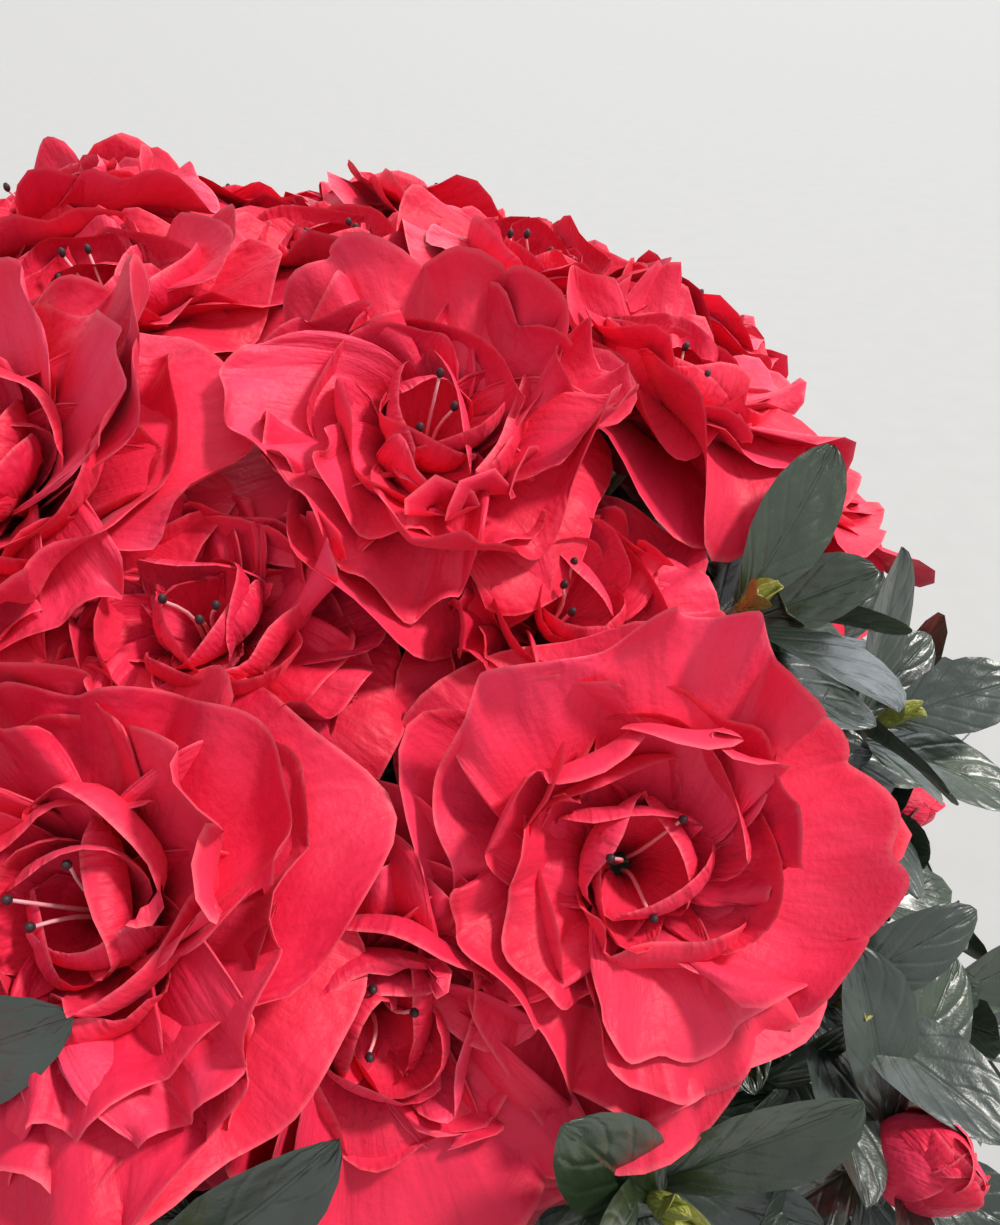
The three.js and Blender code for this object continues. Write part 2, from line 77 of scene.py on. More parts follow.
@dataclass(frozen=True)
class Growth:
    """What the twig of one kind of site bears. Lengths are in millimetres and angles in degrees.

    The twig ends by `stalk` short of the site. Then come the count and opening of the leaves at its tip, and
    the count of finer twigs beside it, with their depth in the crown and the opening of their leaves.
    """

    stalk: float
    leaves: int
    opening: float
    side_twigs: int
    side_depth: float
    side_opening: float


GROWTHS = {
    Kind.BLOOM: Growth(30, 5, 74, 2, 38, 66),
    Kind.BUD: Growth(0, 7, 60, 3, 12, 46),
    Kind.SHOOT: Growth(6, 11, 40, 5, 10, 46),
}


def chance(seed: float) -> float:
    """A number from 0 to 1 that the same seed always gives again."""
    wave = math.sin(seed * 12.9898 + 78.233) * 43758.5453
    return wave - math.floor(wave)


def unit(vectors: Array) -> Array:
    """Vectors scaled to length one."""
    return vectors / np.maximum(np.linalg.norm(vectors, axis=-1, keepdims=True), 1e-9)


def facing(azimuth: float, elevation: float) -> Array:
    """The unit vector that looks to an azimuth and an elevation, in degrees."""
    a, e = math.radians(azimuth), math.radians(elevation)
    return np.array([math.sin(a) * math.cos(e), -math.cos(a) * math.cos(e), math.sin(e)])


def square_to(direction: Array) -> tuple[Array, Array]:
    """Two unit vectors square to a direction and to each other: side x direction = other.

    Args:
        direction: A unit vector.

    Returns:
        The side and the other vector.
    """
    helper = np.array([0.0, 1.0, 0.0]) if abs(direction[2]) > 0.9 else np.array([0.0, 0.0, 1.0])
    side = unit(np.cross(helper, direction))
    return side, np.cross(side, direction)


def swing(first: Array, second: Array, turn: Any) -> Array:
    """The direction at an angle, in radians, from the first of two directions towards the second."""
    return first * np.cos(turn) + second * np.sin(turn)


def smoothstep(value: Any, low: float, high: float) -> Any:
    """A smooth ramp from 0 at `low` to 1 at `high`."""
    share = np.clip((value - low) / (high - low), 0, 1)
    return share * share * (3 - 2 * share)


class Sweep:
    """A cubic curve. Places on it are shares of its length."""

    STEPS = np.linspace(0, 1, 201)

    def __init__(self, *controls: Array) -> None:
        """Measures the curve.

        Args:
            controls: Its four control points.
        """
        self.controls = [np.asarray(point, float) for point in controls]
        spans = np.linalg.norm(np.diff(self._on(self.STEPS), axis=0), axis=1)
        self.lengths = np.concatenate([[0], np.cumsum(spans)])

    @classmethod
    def between(
        cls, start: Array, leaving: Array, end: Array, arriving: Array, pull: float = 0.4
    ) -> "Sweep":
        """A smooth curve that leaves one point in a direction and reaches another in a second direction."""
        span = np.linalg.norm(end - start) * pull
        return cls(start, start + leaving * span, end - arriving * span, end)

    def _on(self, t: Array) -> Array:
        """Follows the curve.

        Args:
            t: Parameters from 0 to 1.

        Returns:
            The points there.
        """
        a, b, c, d = self.controls
        t = np.asarray(t)[..., None]
        return a * (1 - t) ** 3 + 3 * b * t * (1 - t) ** 2 + 3 * c * t**2 * (1 - t) + d * t**3

    def at(self, share: Any) -> Array:
        """The points at shares of the length."""
        return self._on(np.interp(np.asarray(share) * self.lengths[-1], self.lengths, self.STEPS))

    def tangent(self, share: Any) -> Array:
        """The unit directions of the curve at shares of the length."""
        share = np.asarray(share, float)
        return unit(self.at(np.minimum(share + 0.002, 1)) - self.at(np.maximum(share - 0.002, 0)))

    def frames(self, steps: int) -> tuple[Array, Array]:
        """Directions square to the curve, carried along it without twist.

        Args:
            steps: How many equal steps the curve is cut into.

        Returns:
            The normals and the other normals, one of each for every end of a step.
        """
        tangents = self.tangent(np.linspace(0, 1, steps + 1))
        axis = np.zeros(3)
        axis[2 - int(np.argmin(np.abs(tangents[0])[::-1]))] = 1
        normals = [np.cross(tangents[0], unit(np.cross(tangents[0], axis)))]
        for before, after in zip(tangents[:-1], tangents[1:]):
            carried = normals[-1] - after * np.dot(normals[-1], after)
            normals.append(unit(carried) if np.dot(before, after) > -0.99 else normals[-1])
        normals = np.array(normals)
        return normals, np.cross(normals, tangents)


@dataclass
class Ring:
    """A ring of masses of foliage round the crown's axis, with the boughs that carry them."""

    name: str
    count: int
    elevation: float
    turn: float
    foot: float
    fork: float
    radius: float
    from_leader: bool


@dataclass
class Mass:
    """A mass of foliage: a part of the crown that one bough carries."""

    name: str
    ring: Ring
    direction: Array


@dataclass
class Site:
    """A place of the crown that holds a bloom, a bud or a leafy shoot."""

    kind: Kind
    direction: Array
    lift: float
    face: Array
    size: float
    seed: int
    point: Array
    side: Array
    other: Array
    twig: Sweep | None = None

    def placed(self, points: Array) -> Array:
        """Points of the site's own frame, put at its place on the crown."""
        x, y, z = points[..., :1], points[..., 1:2], points[..., 2:]
        return self.point + x * self.side + y * self.other + z * self.face


@dataclass
class Crown:
    """The round crown, and the rule that places its blooms, shoots and limbs. Angles are in degrees."""

    centre: tuple[float, float, float] = (0, 0, 182)
    radius: float = 205
    skirt_tuck: float = 0.16
    limb_reach: float = 0.54
    lowest_shoot: float = -40
    bloom_spacing: float = 55
    shoot_spacing: float = 72
    candidates: int = 1500
    face_jitter: float = 0.2
    lift_jitter: float = 7
    least_size: float = 0.94
    size_jitter: float = 0.12
    mass_turn_jitter: float = 12
    mass_rise_jitter: float = 8
    bloom_line: float = 20
    leafy_azimuth: float = 72
    leafy_rise: float = 26
    leafy_width: float = 42
    bud_share: float = 0.3
    trunk_height: float = 76
    trunk_lean: tuple[float, float] = (6, -3)
    twig_pull: float = 0.35
    rings: tuple[Ring, ...] = (
        Ring("top", 1, 90, 0, 0.96, 0.62, 6.5, False),
        Ring("middle", 6, 20, 5, 0.9, 0.64, 5.4, False),
        Ring("low", 6, -21, 35, 0.62, 0.64, 4.4, False),
        Ring("upper", 5, 52, 38, 0.34, 0.66, 4.2, True),
    )
    # Azimuth, elevation, lift, azimuth and elevation of the face, and size.
    front_blooms: tuple[tuple[float, ...], ...] = (
        (34, 36.5, 8, 12, 44, 1.06),
        (35, 61.5, 4, 20, 62, 1.06),
        (43, 50, -8, 38, 58, 0.95),
        (76, 56, 6, 82, 62, 1),
        (93, 67, 4, 78, 76, 1),
        (116, 81, -8, 60, 84, 0.96),
        (-113, 77, 2, -70, 78, 1),
        (-25, 79, -4, -20, 74, 0.98),
        (-12, 60, 6, -8, 54, 1.06),
        (9, 54, -4, 5, 60, 0.95),
        (2, 39.5, 8, -6, 45, 1.06),
        (18, 32, -4, 17, 26, 1),
    )
    # The kind, then the same without the size, which is 1.
    front_shoots: tuple[tuple[Kind, float, float, float, float, float], ...] = (
        (Kind.SHOOT, 58, 44, 0, 45, 52),
        (Kind.SHOOT, 67, 31, 2, 55, 45),
        (Kind.SHOOT, 48, 22, 2, 43, 38),
        (Kind.BUD, 45.5, 14.5, 14, 36, 42),
        (Kind.SHOOT, 31, 19, 2, 26, 32),
        (Kind.SHOOT, 6, 23, 2, 4, 34),
        (Kind.SHOOT, -13, 30, 2, -8, 40),
    )
    sites: list[Site] = field(default_factory=list)
    masses: list[Mass] = field(default_factory=list)

    def grow(self) -> None:
        """Places all blooms, buds and shoots, spreads the masses and runs a twig to each site."""
        rows = [(Kind.BLOOM, *row) for row in self.front_blooms] + [(*row, 1) for row in self.front_shoots]
        for kind, azimuth, elevation, lift, face_azimuth, face_elevation, size in rows:
            self._add(kind, facing(azimuth, elevation), lift, facing(face_azimuth, face_elevation), size)
        self._grow_spiral()
        self._grow_masses()
        for site in self.sites:
            site.twig = self._twig_to(site)

    def reach(self, direction: Array) -> float:
        """How far the crown reaches from its centre in a direction."""
        below = min(direction[2], 0) / math.sin(math.radians(self.lowest_shoot))
        return self.radius * (1 - self.skirt_tuck * below * below)

    def point(self, direction: Array, share: float, lift: float = 0) -> Array:
        """The point of the crown at a share of its reach."""
        return np.array(self.centre) + direction * (self.reach(direction) * share + lift)

    def _add(self, kind: Kind, direction: Array, lift: float, face: Array, size: float) -> None:
        """Adds one site, from its direction on the crown and the way it faces."""
        seed, point = len(self.sites), self.point(direction, 1, lift)
        self.sites.append(Site(kind, direction, lift, face, size, seed, point, *square_to(face)))

    def _grow_spiral(self) -> None:
        """Fills the crown beside its front by a seeded spiral."""
        lowest = math.sin(math.radians(self.lowest_shoot))
        for i in range(self.candidates):
            height = 1 - ((i + 0.5) / self.candidates) * (1 - lowest)
            elevation = math.degrees(math.asin(height))
            azimuth = math.degrees(i * GOLDEN_TURN) % 360 - 180
            direction = facing(azimuth, elevation)
            away = (azimuth - self.leafy_azimuth) / self.leafy_width
            blooms = elevation > self.bloom_line + self.leafy_rise * math.exp(-away * away)
            spacing = (self.bloom_spacing if blooms else self.shoot_spacing) / self.radius
            if any(np.linalg.norm(site.direction - direction) < spacing for site in self.sites):
                continue
            seed = len(self.sites)
            stray = np.array([chance(seed) - 0.5, chance(seed + 0.1) - 0.5, chance(seed + 0.2) - 0.2])
            face = unit(direction + stray * 2 * self.face_jitter)
            budding = elevation > 0 and chance(seed + 0.3) < self.bud_share
            kind = Kind.BLOOM if blooms else Kind.BUD if budding else Kind.SHOOT
            lift = (chance(seed + 0.4) - 0.5) * 2 * self.lift_jitter
            self._add(kind, direction, lift, face, self.least_size + self.size_jitter * chance(seed + 0.5))

    def _grow_masses(self) -> None:
        """Spreads the masses over the rings."""
        for r, ring in enumerate(self.rings):
            for i in range(ring.count):
                turn = ring.turn + i * 360 / ring.count + (chance(r * 10 + i) - 0.5) * self.mass_turn_jitter
                stray = (chance(r * 10 + i + 0.5) - 0.5) * self.mass_rise_jitter if ring.count > 1 else 0
                name = f"{ring.name}_{i + 1}" if ring.count > 1 else ring.name
                self.masses.append(Mass(name, ring, facing(turn, ring.elevation + stray)))

    def _twig_to(self, site: Site) -> Sweep:
        """Runs a twig from the fork of the nearest mass to the foot of a bloom, bud or whorl.

        Args:
            site: Where the twig goes.

        Returns:
            Its middle line.
        """
        mass = max(self.masses, key=lambda each: float(np.dot(each.direction, site.direction)))
        fork = self.point(mass.direction, mass.ring.fork)
        tip = site.point - site.face * GROWTHS[site.kind].stalk
        leaving = unit(unit(tip - fork) + mass.direction)
        return Sweep.between(fork, leaving, tip, site.face, self.twig_pull)

    def trunk(self) -> Sweep:
        """Runs the trunk from the ground to the fork.

        Returns:
            Its middle line.
        """
        top = np.array([*self.trunk_lean, self.trunk_height])
        bend = top * np.array([0.2, 0.2, 0.5])
        return Sweep(np.zeros(3), bend * 2 / 3, (bend * 2 + top) / 3, top)

    def bough(self, mass: Mass, carrier: Sweep) -> Sweep:
        """Runs a bough from inside the limb that carries it to where its foliage begins.

        Args:
            mass: The mass that the bough bears.
            carrier: The middle line of the limb.

        Returns:
            The bough's middle line.
        """
        foot = carrier.at(mass.ring.foot)
        tip = self.point(mass.direction, self.limb_reach)
        leaving = unit(unit(tip - foot) + carrier.tangent(mass.ring.foot))
        return Sweep.between(foot, leaving, tip, mass.direction)


class Patchwork:
    """Many small closed shapes, joined into one mesh from arrays."""

    def __init__(self) -> None:
        """Starts with nothing in it."""
        self.points: list[Array] = []
        self.places: list[Array] = []
        self.faces: dict[int, list[Array]] = {4: [], 3: []}
        self.finishes: dict[int, list[Array]] = {4: [], 3: []}
        self.count = 0

    def add(self, points: Array, places: Array, tables: list[Array], finish: Any) -> None:
        """Adds faces that share corners.

        Args:
            points: Corners, in millimetres.
            places: Two numbers for each corner, where it lies on its petal, leaf or stem.
            tables: Faces as rows of corner numbers, with three or four in all rows of a table.
            finish: The finish number of each face, or one for all.
        """
        for table in tables:
            sides = table.shape[1]
            self.faces[sides].append(table + self.count)
            self.finishes[sides].append(np.broadcast_to(finish, len(table)))
        self.points.append(points)
        self.places.append(places)
        self.count += len(points)

    def add_shells(self, grids: Array, places: Array, thickness: float, over: Array, under: Array) -> None:
        """Adds thin closed shells, whose two sides meet along their margins.

        Args:
            grids: Points of each sheet's middle, as sheet, row, column and axis. Rows run outwards.
            places: Row and column places that all sheets share, as row, column and two numbers.
            thickness: Of the shell, in millimetres.
            over: The finish number of each sheet's upper side.
            under: The finish number of each sheet's lower side.
        """
        sheets, rows, columns, _ = grids.shape
        half = unit(np.cross(np.gradient(grids, axis=1), np.gradient(grids, axis=2))) * thickness / 2
        inside = np.zeros((rows, columns), bool)
        inside[1:-1, 1:-1] = True
        top = np.where(inside[None, :, :, None], grids + half, grids).reshape(sheets, -1, 3)
        bottom = (grids - half)[:, 1:-1, 1:-1].reshape(sheets, -1, 3)
        points = np.concatenate([top, bottom], axis=1)
        upper = np.arange(rows * columns).reshape(rows, columns)
        lower = upper.copy()
        lower[inside] = rows * columns + np.arange(inside.sum())
        near, far = slice(None, -1), slice(1, None)
        corners = [(near, near), (far, near), (far, far), (near, far)]
        above = np.stack([upper[corner].ravel() for corner in corners], axis=1)
        below = np.stack([lower[corner].ravel() for corner in reversed(corners)], axis=1)
        starts = np.arange(sheets)[:, None, None] * points.shape[1]
        faces = (np.concatenate([above, below])[None] + starts).reshape(-1, 4)
        finish = np.repeat(np.stack([over, under], axis=1), len(above), axis=1)
        shared = np.concatenate([places.reshape(-1, 2), places[1:-1, 1:-1].reshape(-1, 2)])
        self.add(points.reshape(-1, 3), np.tile(shared, (sheets, 1)), [faces], finish.ravel())

    def add_tube(self, curve: Sweep, sides: int, radii: Array, finish: int) -> None:
        """Adds a round stem that ends in a small point at each end.

        Args:
            curve: The stem's middle line.
            sides: Faces round it.
            radii: The radius at each end of the equal steps along it.
            finish: The finish number of its faces.
        """
        steps = len(radii) - 1
        shares = np.linspace(0, 1, steps + 1)
        middle = curve.at(shares)
        normals, others = curve.frames(steps)
        angles = np.arange(sides) * TURN / sides
        outward = swing(normals[:, None], others[:, None], angles[:, None])
        rings = middle[:, None] + radii[:, None, None] * outward
        ends = np.stack([middle[0], middle[-1] + (middle[-1] - middle[-2]) * 0.05])
        here = np.arange(sides)
        there = (here + 1) % sides
        rises = np.arange(steps)[:, None] * sides
        low, high = rises + here, rises + there
        quads = np.stack([low, low + sides, high + sides, high], axis=2).reshape(-1, 4)
        top = steps * sides
        foot = np.stack([here, there, np.full(sides, top + sides)], axis=1)
        tip = np.stack([there + top, here + top, np.full(sides, top + sides + 1)], axis=1)
        along = np.append(np.repeat(shares, sides), [0, 1])
        places = np.stack([along, np.append(np.tile(angles, steps + 1), [0, 0])], axis=1)
        points = np.concatenate([rings.reshape(-1, 3), ends])
        self.add(points, places, [quads, np.concatenate([foot, tip])], finish)

    def build(self, name: str, finishes: list[bpy.types.Material], sharp: float = 75) -> bpy.types.Object:
        """Makes one object of all that was added.

        Args:
            name: The object's name.
            finishes: The materials, in the order of their numbers.
            sharp: Edges that turn further than this, in degrees, stay crisp.

        Returns:
            The object, at the origin, with its place in its mesh.
        """
        corners, starts, dealt, at = [], [], [], 0
        for sides, tables in self.faces.items():
            faces = np.concatenate([np.zeros((0, sides), int), *tables])
            corners.append(faces.ravel())
            starts.append(at + np.arange(len(faces)) * sides)
            dealt += self.finishes[sides]
            at += faces.size
        corners, starts, dealt = (np.concatenate(rows).astype(np.int32) for rows in (corners, starts, dealt))
        mesh = bpy.data.meshes.new(name)
        mesh.vertices.add(self.count)
        mesh.vertices.foreach_set("co", (np.concatenate(self.points) * MM).astype(np.float32).ravel())
        mesh.loops.add(len(corners))
        mesh.loops.foreach_set("vertex_index", corners)
        mesh.polygons.add(len(starts))
        mesh.polygons.foreach_set("loop_start", starts)
        mesh.polygons.foreach_set("material_index", dealt)
        mesh.update(calc_edges=True)
        layer = mesh.uv_layers.new(name="place")
        layer.uv.foreach_set("vector", np.concatenate(self.places)[corners].astype(np.float32).ravel())
        for finish in finishes:
            mesh.materials.append(finish)
        mesh.shade_smooth()
        mesh.set_sharp_from_angle(angle=math.radians(sharp))
        piece = bpy.data.objects.new(name, mesh)
        bpy.context.scene.collection.objects.link(piece)
        return piece


def forward(operation: str) -> Callable[["Wire", Any], "Wire"]:
    """An operator that has the wire first."""
    return lambda wire, other: wire.maths(operation, wire, other)


def reflected(operation: str) -> Callable[["Wire", Any], "Wire"]:
    """An operator that has the wire second."""
    return lambda wire, other: wire.maths(operation, other, wire)


class Wire:
    """A node's output, with which shader maths is written as plain expressions."""

    __add__, __radd__ = forward("ADD"), reflected("ADD")
    __sub__, __rsub__ = forward("SUBTRACT"), reflected("SUBTRACT")
    __mul__, __rmul__ = forward("MULTIPLY"), reflected("MULTIPLY")
    __pow__ = forward("POWER")

    def __init__(self, sheet: "NodeSheet", socket: bpy.types.NodeSocket) -> None:
        """Keeps the output, and the node sheet that it lives on."""
        self.sheet = sheet
        self.socket = socket

    def maths(self, operation: str, *values: Any) -> "Wire":
        """One Math node."""
        return self.sheet.add("ShaderNodeMath", {"operation": operation}, dict(enumerate(values)))

    def size(self) -> "Wire":
        """The number without its sign."""
        return self.maths("ABSOLUTE", self)

    def wave(self) -> "Wire":
        """The sine."""
        return self.maths("SINE", self)

    def ramp(self, low: float, high: float) -> "Wire":
        """A smooth rise from 0 at `low` to 1 at `high`."""
        settings = {"interpolation_type": "SMOOTHSTEP"}
        return self.sheet.add("ShaderNodeMapRange", settings, {0: self, 1: low, 2: high})


class NodeSheet:
    """The nodes of one material."""

    def __init__(self, name: str) -> None:
        """Starts a material that holds one Principled shader.

        Args:
            name: The material's name.
        """
        self.material = bpy.data.materials.new(name)
        self.material.use_nodes = True
        self.tree = self.material.node_tree

    def add(self, kind: str, settings: dict[str, Any], values: dict[Any, Any], out: Any = 0) -> Wire:
        """Adds any node.

        Args:
            kind: The node's type.
            settings: Its settings, set first.
            values: Numbers, colours or wires for its sockets, by name or number.
            out: The output to go on from.

        Returns:
            The chosen output.
        """
        node = self.tree.nodes.new(kind)
        for name, setting in settings.items():
            setattr(node, name, setting)
        for key, value in values.items():
            self._plug(node.inputs[key], value)
        return Wire(self, node.outputs[out])

    def _plug(self, socket: bpy.types.NodeSocket, value: Any) -> None:
        """Fills a socket.

        Args:
            socket: The input.
            value: A wire to link to it, or a number, vector or colour to set it to.
        """
        if isinstance(value, Wire):
            self.tree.links.new(value.socket, socket)
        else:
            socket.default_value = (*value, 1) if socket.type == "RGBA" else value

    def _where(self) -> Wire:
        """Where a point lies on its petal or leaf."""
        return self.add("ShaderNodeUVMap", {"uv_map": "place"}, {})

    def _noise(self, where: Wire, stretch: tuple[float, ...], scale: float, detail: float) -> Wire:
        """Noise from 0 to 1 over stretched coordinates."""
        where = self.add("ShaderNodeMapping", {}, {"Vector": where, "Scale": stretch})
        return self.add("ShaderNodeTexNoise", {}, {"Vector": where, "Scale": scale, "Detail": detail})

    def place(self) -> tuple[Wire, Wire]:
        """How far outwards and how far across a point lies on its petal or leaf."""
        where = self._where()
        return tuple(self.add("ShaderNodeSeparateXYZ", {}, {0: where}, axis) for axis in "XY")

    def streaks(self, outwards: float, across: float, detail: float = 3) -> Wire:
        """Streaks along each petal or leaf, in waves from foot to margin and from middle to side."""
        return self._noise(self._where(), (outwards, across, 1), 1.0, detail)

    def noise(self, scale: float, detail: float = 3, stretch: tuple[float, ...] = (1, 1, 1)) -> Wire:
        """Soft noise over the object, in waves for each metre."""
        return self._noise(self.add("ShaderNodeTexCoord", {}, {}, "Object"), stretch, scale, detail)

    def mix(self, share: Any, first: Any, second: Any) -> Wire:
        """A colour between two colours."""
        return self.add("ShaderNodeMix", {"data_type": "RGBA"}, {0: share, 6: first, 7: second}, 2)

    def bump(self, height: Wire, distance: float, strength: float = 1.0) -> Wire:
        """A relief for the Normal socket, with its depth in metres."""
        return self.add("ShaderNodeBump", {}, {"Strength": strength, "Distance": distance, "Height": height})

    def dress(self, **sockets: Any) -> bpy.types.Material:
        """Fills the shader's sockets.

        Args:
            sockets: What each takes, by its name with underscores.

        Returns:
            The material.
        """
        for name, value in sockets.items():
            self._plug(self.tree.nodes["Principled BSDF"].inputs[name.replace("_", " ")], value)
        return self.material


@dataclass(frozen=True)
class Finish:
    """What all finishes have: a name, a colour, and a paler one that varies it."""

    name: str
    colour: Colour
    pale: Colour


@dataclass(frozen=True)
class PetalFinish(Finish):
    """Satin petals: crimson, with fine radial creases, a deeper throat and a painted highlight on the
    margin.
    """

    deep: Colour
    # A painted highlight: the pale line that light makes along the petals' margins.
    rim: Colour = (0.9, 0.16, 0.2)

    def make(self) -> bpy.types.Material:
        """Mixes the finish.

        Returns:
            The petal material.
        """
        sheet = NodeSheet(self.name)
        out, _ = sheet.place()
        cloud = sheet.noise(45, 2)
        veins = sheet.streaks(2.2, 26)
        creases = sheet.streaks(3.5, 9, 2)
        fine = sheet.noise(900, 2)
        flecks = fine.ramp(0.6, 0.68) * out.ramp(0.12, 0.3) * (1 - out.ramp(0.4, 0.62))
        body = sheet.mix(cloud.ramp(0.35, 0.7), self.colour, self.pale)
        body = sheet.mix((1 - out.ramp(0.05, 0.5)) * 0.55, body, self.deep)
        body = sheet.mix(veins.ramp(0.45, 0.75) * 0.22 + flecks * 0.4, body, self.deep)
        # Painted highlight: a paler line along the margin, where light catches the petal's edge.
        body = sheet.mix(out.ramp(0.965, 1.0) * 0.45, body, self.rim)
        pleats = creases * (1.2 + out.ramp(0.45, 1.0) * 1.8)
        relief = sheet.bump(veins * 0.6 + pleats + fine * 0.3, 0.0007, 0.75)
        return sheet.dress(
            Base_Color=body,
            Roughness=0.46 + fine * 0.14,
            Normal=relief,
            Sheen_Weight=0.1,
            Sheen_Roughness=0.4,
            Sheen_Tint=(1.0, 0.4, 0.5),
            Specular_IOR_Level=0.3,
        )


@dataclass(frozen=True)
class LeafFinish(Finish):
    """Leathery leaves: glossy above, with a pale midrib, side veins and fine short hairs."""

    roughness: float

    def make(self) -> bpy.types.Material:
        """Mixes the finish.

        Returns:
            The leaf material.
        """
        sheet = NodeSheet(self.name)
        out, across = sheet.place()
        away = across.size()
        cloud = sheet.noise(60, 2)
        grain = sheet.noise(1500, 2)
        quilt = sheet.streaks(5, 2.2, 1)
        veins = ((out * 5 - away * 1.9) * TURN).wave() * 0.5 + 0.5
        rib = 1 - away.ramp(0.0, 0.09)
        hairs = sheet.noise(2600, 1, (1, 0.25, 0.6)).ramp(0.66, 0.74)
        body = sheet.mix(cloud.ramp(0.3, 0.75) * 0.6 + veins**8 * 0.12, self.colour, self.pale)
        body = sheet.mix(rib * 0.4 + hairs * 0.5, body, self.pale)
        relief = sheet.bump(veins**6 * -0.4 - rib * 0.8 + grain * 0.2 + quilt * 2.0, 0.0006, 0.7)
        return sheet.dress(
            Base_Color=body,
            Roughness=self.roughness + grain * 0.12 + hairs * 0.2,
            Normal=relief,
            Specular_IOR_Level=0.85,
            Coat_Weight=0.35,
            Coat_Roughness=0.2,
        )


@dataclass(frozen=True)
class BarkFinish(Finish):
    """Grey-brown bark with fine long furrows and dull patches."""

    patches: Colour = (0.2, 0.19, 0.15)

    def make(self) -> bpy.types.Material:
        """Mixes the finish.

        Returns:
            The bark material.
        """
        sheet = NodeSheet(self.name)
        furrows = sheet.noise(260, 5, (1, 1, 0.22))
        cloud = sheet.noise(40, 3)
        body = sheet.mix(furrows.ramp(0.35, 0.65), self.colour, self.pale)
        body = sheet.mix(cloud.ramp(0.55, 0.8) * 0.5, body, self.patches)
        return sheet.dress(Base_Color=body, Roughness=0.86, Normal=sheet.bump(furrows, 0.0012, 0.8))


@dataclass(frozen=True)
class PlainFinish(Finish):
    """A small part's finish, with a fine grain and no other pattern."""

    roughness: float

    def make(self) -> bpy.types.Material:
        """Mixes the finish.

        Returns:
            The material.
        """
        sheet = NodeSheet(self.name)
        grain = sheet.noise(500, 3)
        body = sheet.mix(grain, self.colour, self.pale)
        return sheet.dress(Base_Color=body, Roughness=self.roughness, Normal=sheet.bump(grain, 0.0002))


BARK = BarkFinish("bark", (0.1, 0.07, 0.05), (0.27, 0.21, 0.16))
TWIG_BARK = BarkFinish("twig_bark", (0.12, 0.085, 0.06), (0.24, 0.2, 0.13))
PETALS = (
    PetalFinish("coral_petal", (0.8, 0.019, 0.062), (0.87, 0.03, 0.085), (0.42, 0.004, 0.026)),
    PetalFinish("crimson_petal", (0.72, 0.013, 0.058), (0.82, 0.024, 0.08), (0.36, 0.003, 0.024)),
    PetalFinish("rosy_petal", (0.84, 0.027, 0.08), (0.9, 0.045, 0.12), (0.46, 0.005, 0.03)),
)
BUD_SCALE = PlainFinish("bud_scale", (0.2, 0.12, 0.04), (0.34, 0.26, 0.1), 0.6)
FILAMENT = PlainFinish("filament", (0.86, 0.3, 0.36), (0.9, 0.42, 0.46), 0.5)
ANTHER = PlainFinish("anther", (0.02, 0.008, 0.012), (0.05, 0.02, 0.025), 0.55)
GROWN_LEAVES = (
    LeafFinish("dark_leaf", (0.009, 0.018, 0.011), (0.028, 0.05, 0.029), 0.28),
    LeafFinish("grey_leaf", (0.014, 0.025, 0.018), (0.042, 0.064, 0.045), 0.32),
    LeafFinish("green_leaf", (0.012, 0.026, 0.009), (0.036, 0.066, 0.026), 0.3),
)
LEAF_UNDERSIDE = LeafFinish("leaf_underside", (0.045, 0.078, 0.042), (0.08, 0.12, 0.065), 0.55)
YOUNG_LEAF = LeafFinish("young_leaf", (0.3, 0.36, 0.05), (0.5, 0.42, 0.09), 0.42)
LEAVES = (*GROWN_LEAVES, LEAF_UNDERSIDE, YOUNG_LEAF)


@dataclass(frozen=True)
class Whorl:
    """One ring of a bloom's petals. Lengths are in millimetres and angles in degrees.

    `foot` is the radius and height of the petals' feet, heights being from the rim's plane. A petal leaves
    its foot at the slope `start`, spreads to the slope `rise`, and its last third bends on by `tip`.
    `grids` are the rows and columns of points on a petal, from the blooms seen closest to those behind.
    """

    count: int
    length: float
    width: float
    foot: tuple[float, float]
    start: float
    rise: float
    rise_stray: float
    tip: float
    tip_stray: float
    cup: float
    ruffle: float
    curl_in: float
    curl: float
    grids: tuple[tuple[int, int], ...]


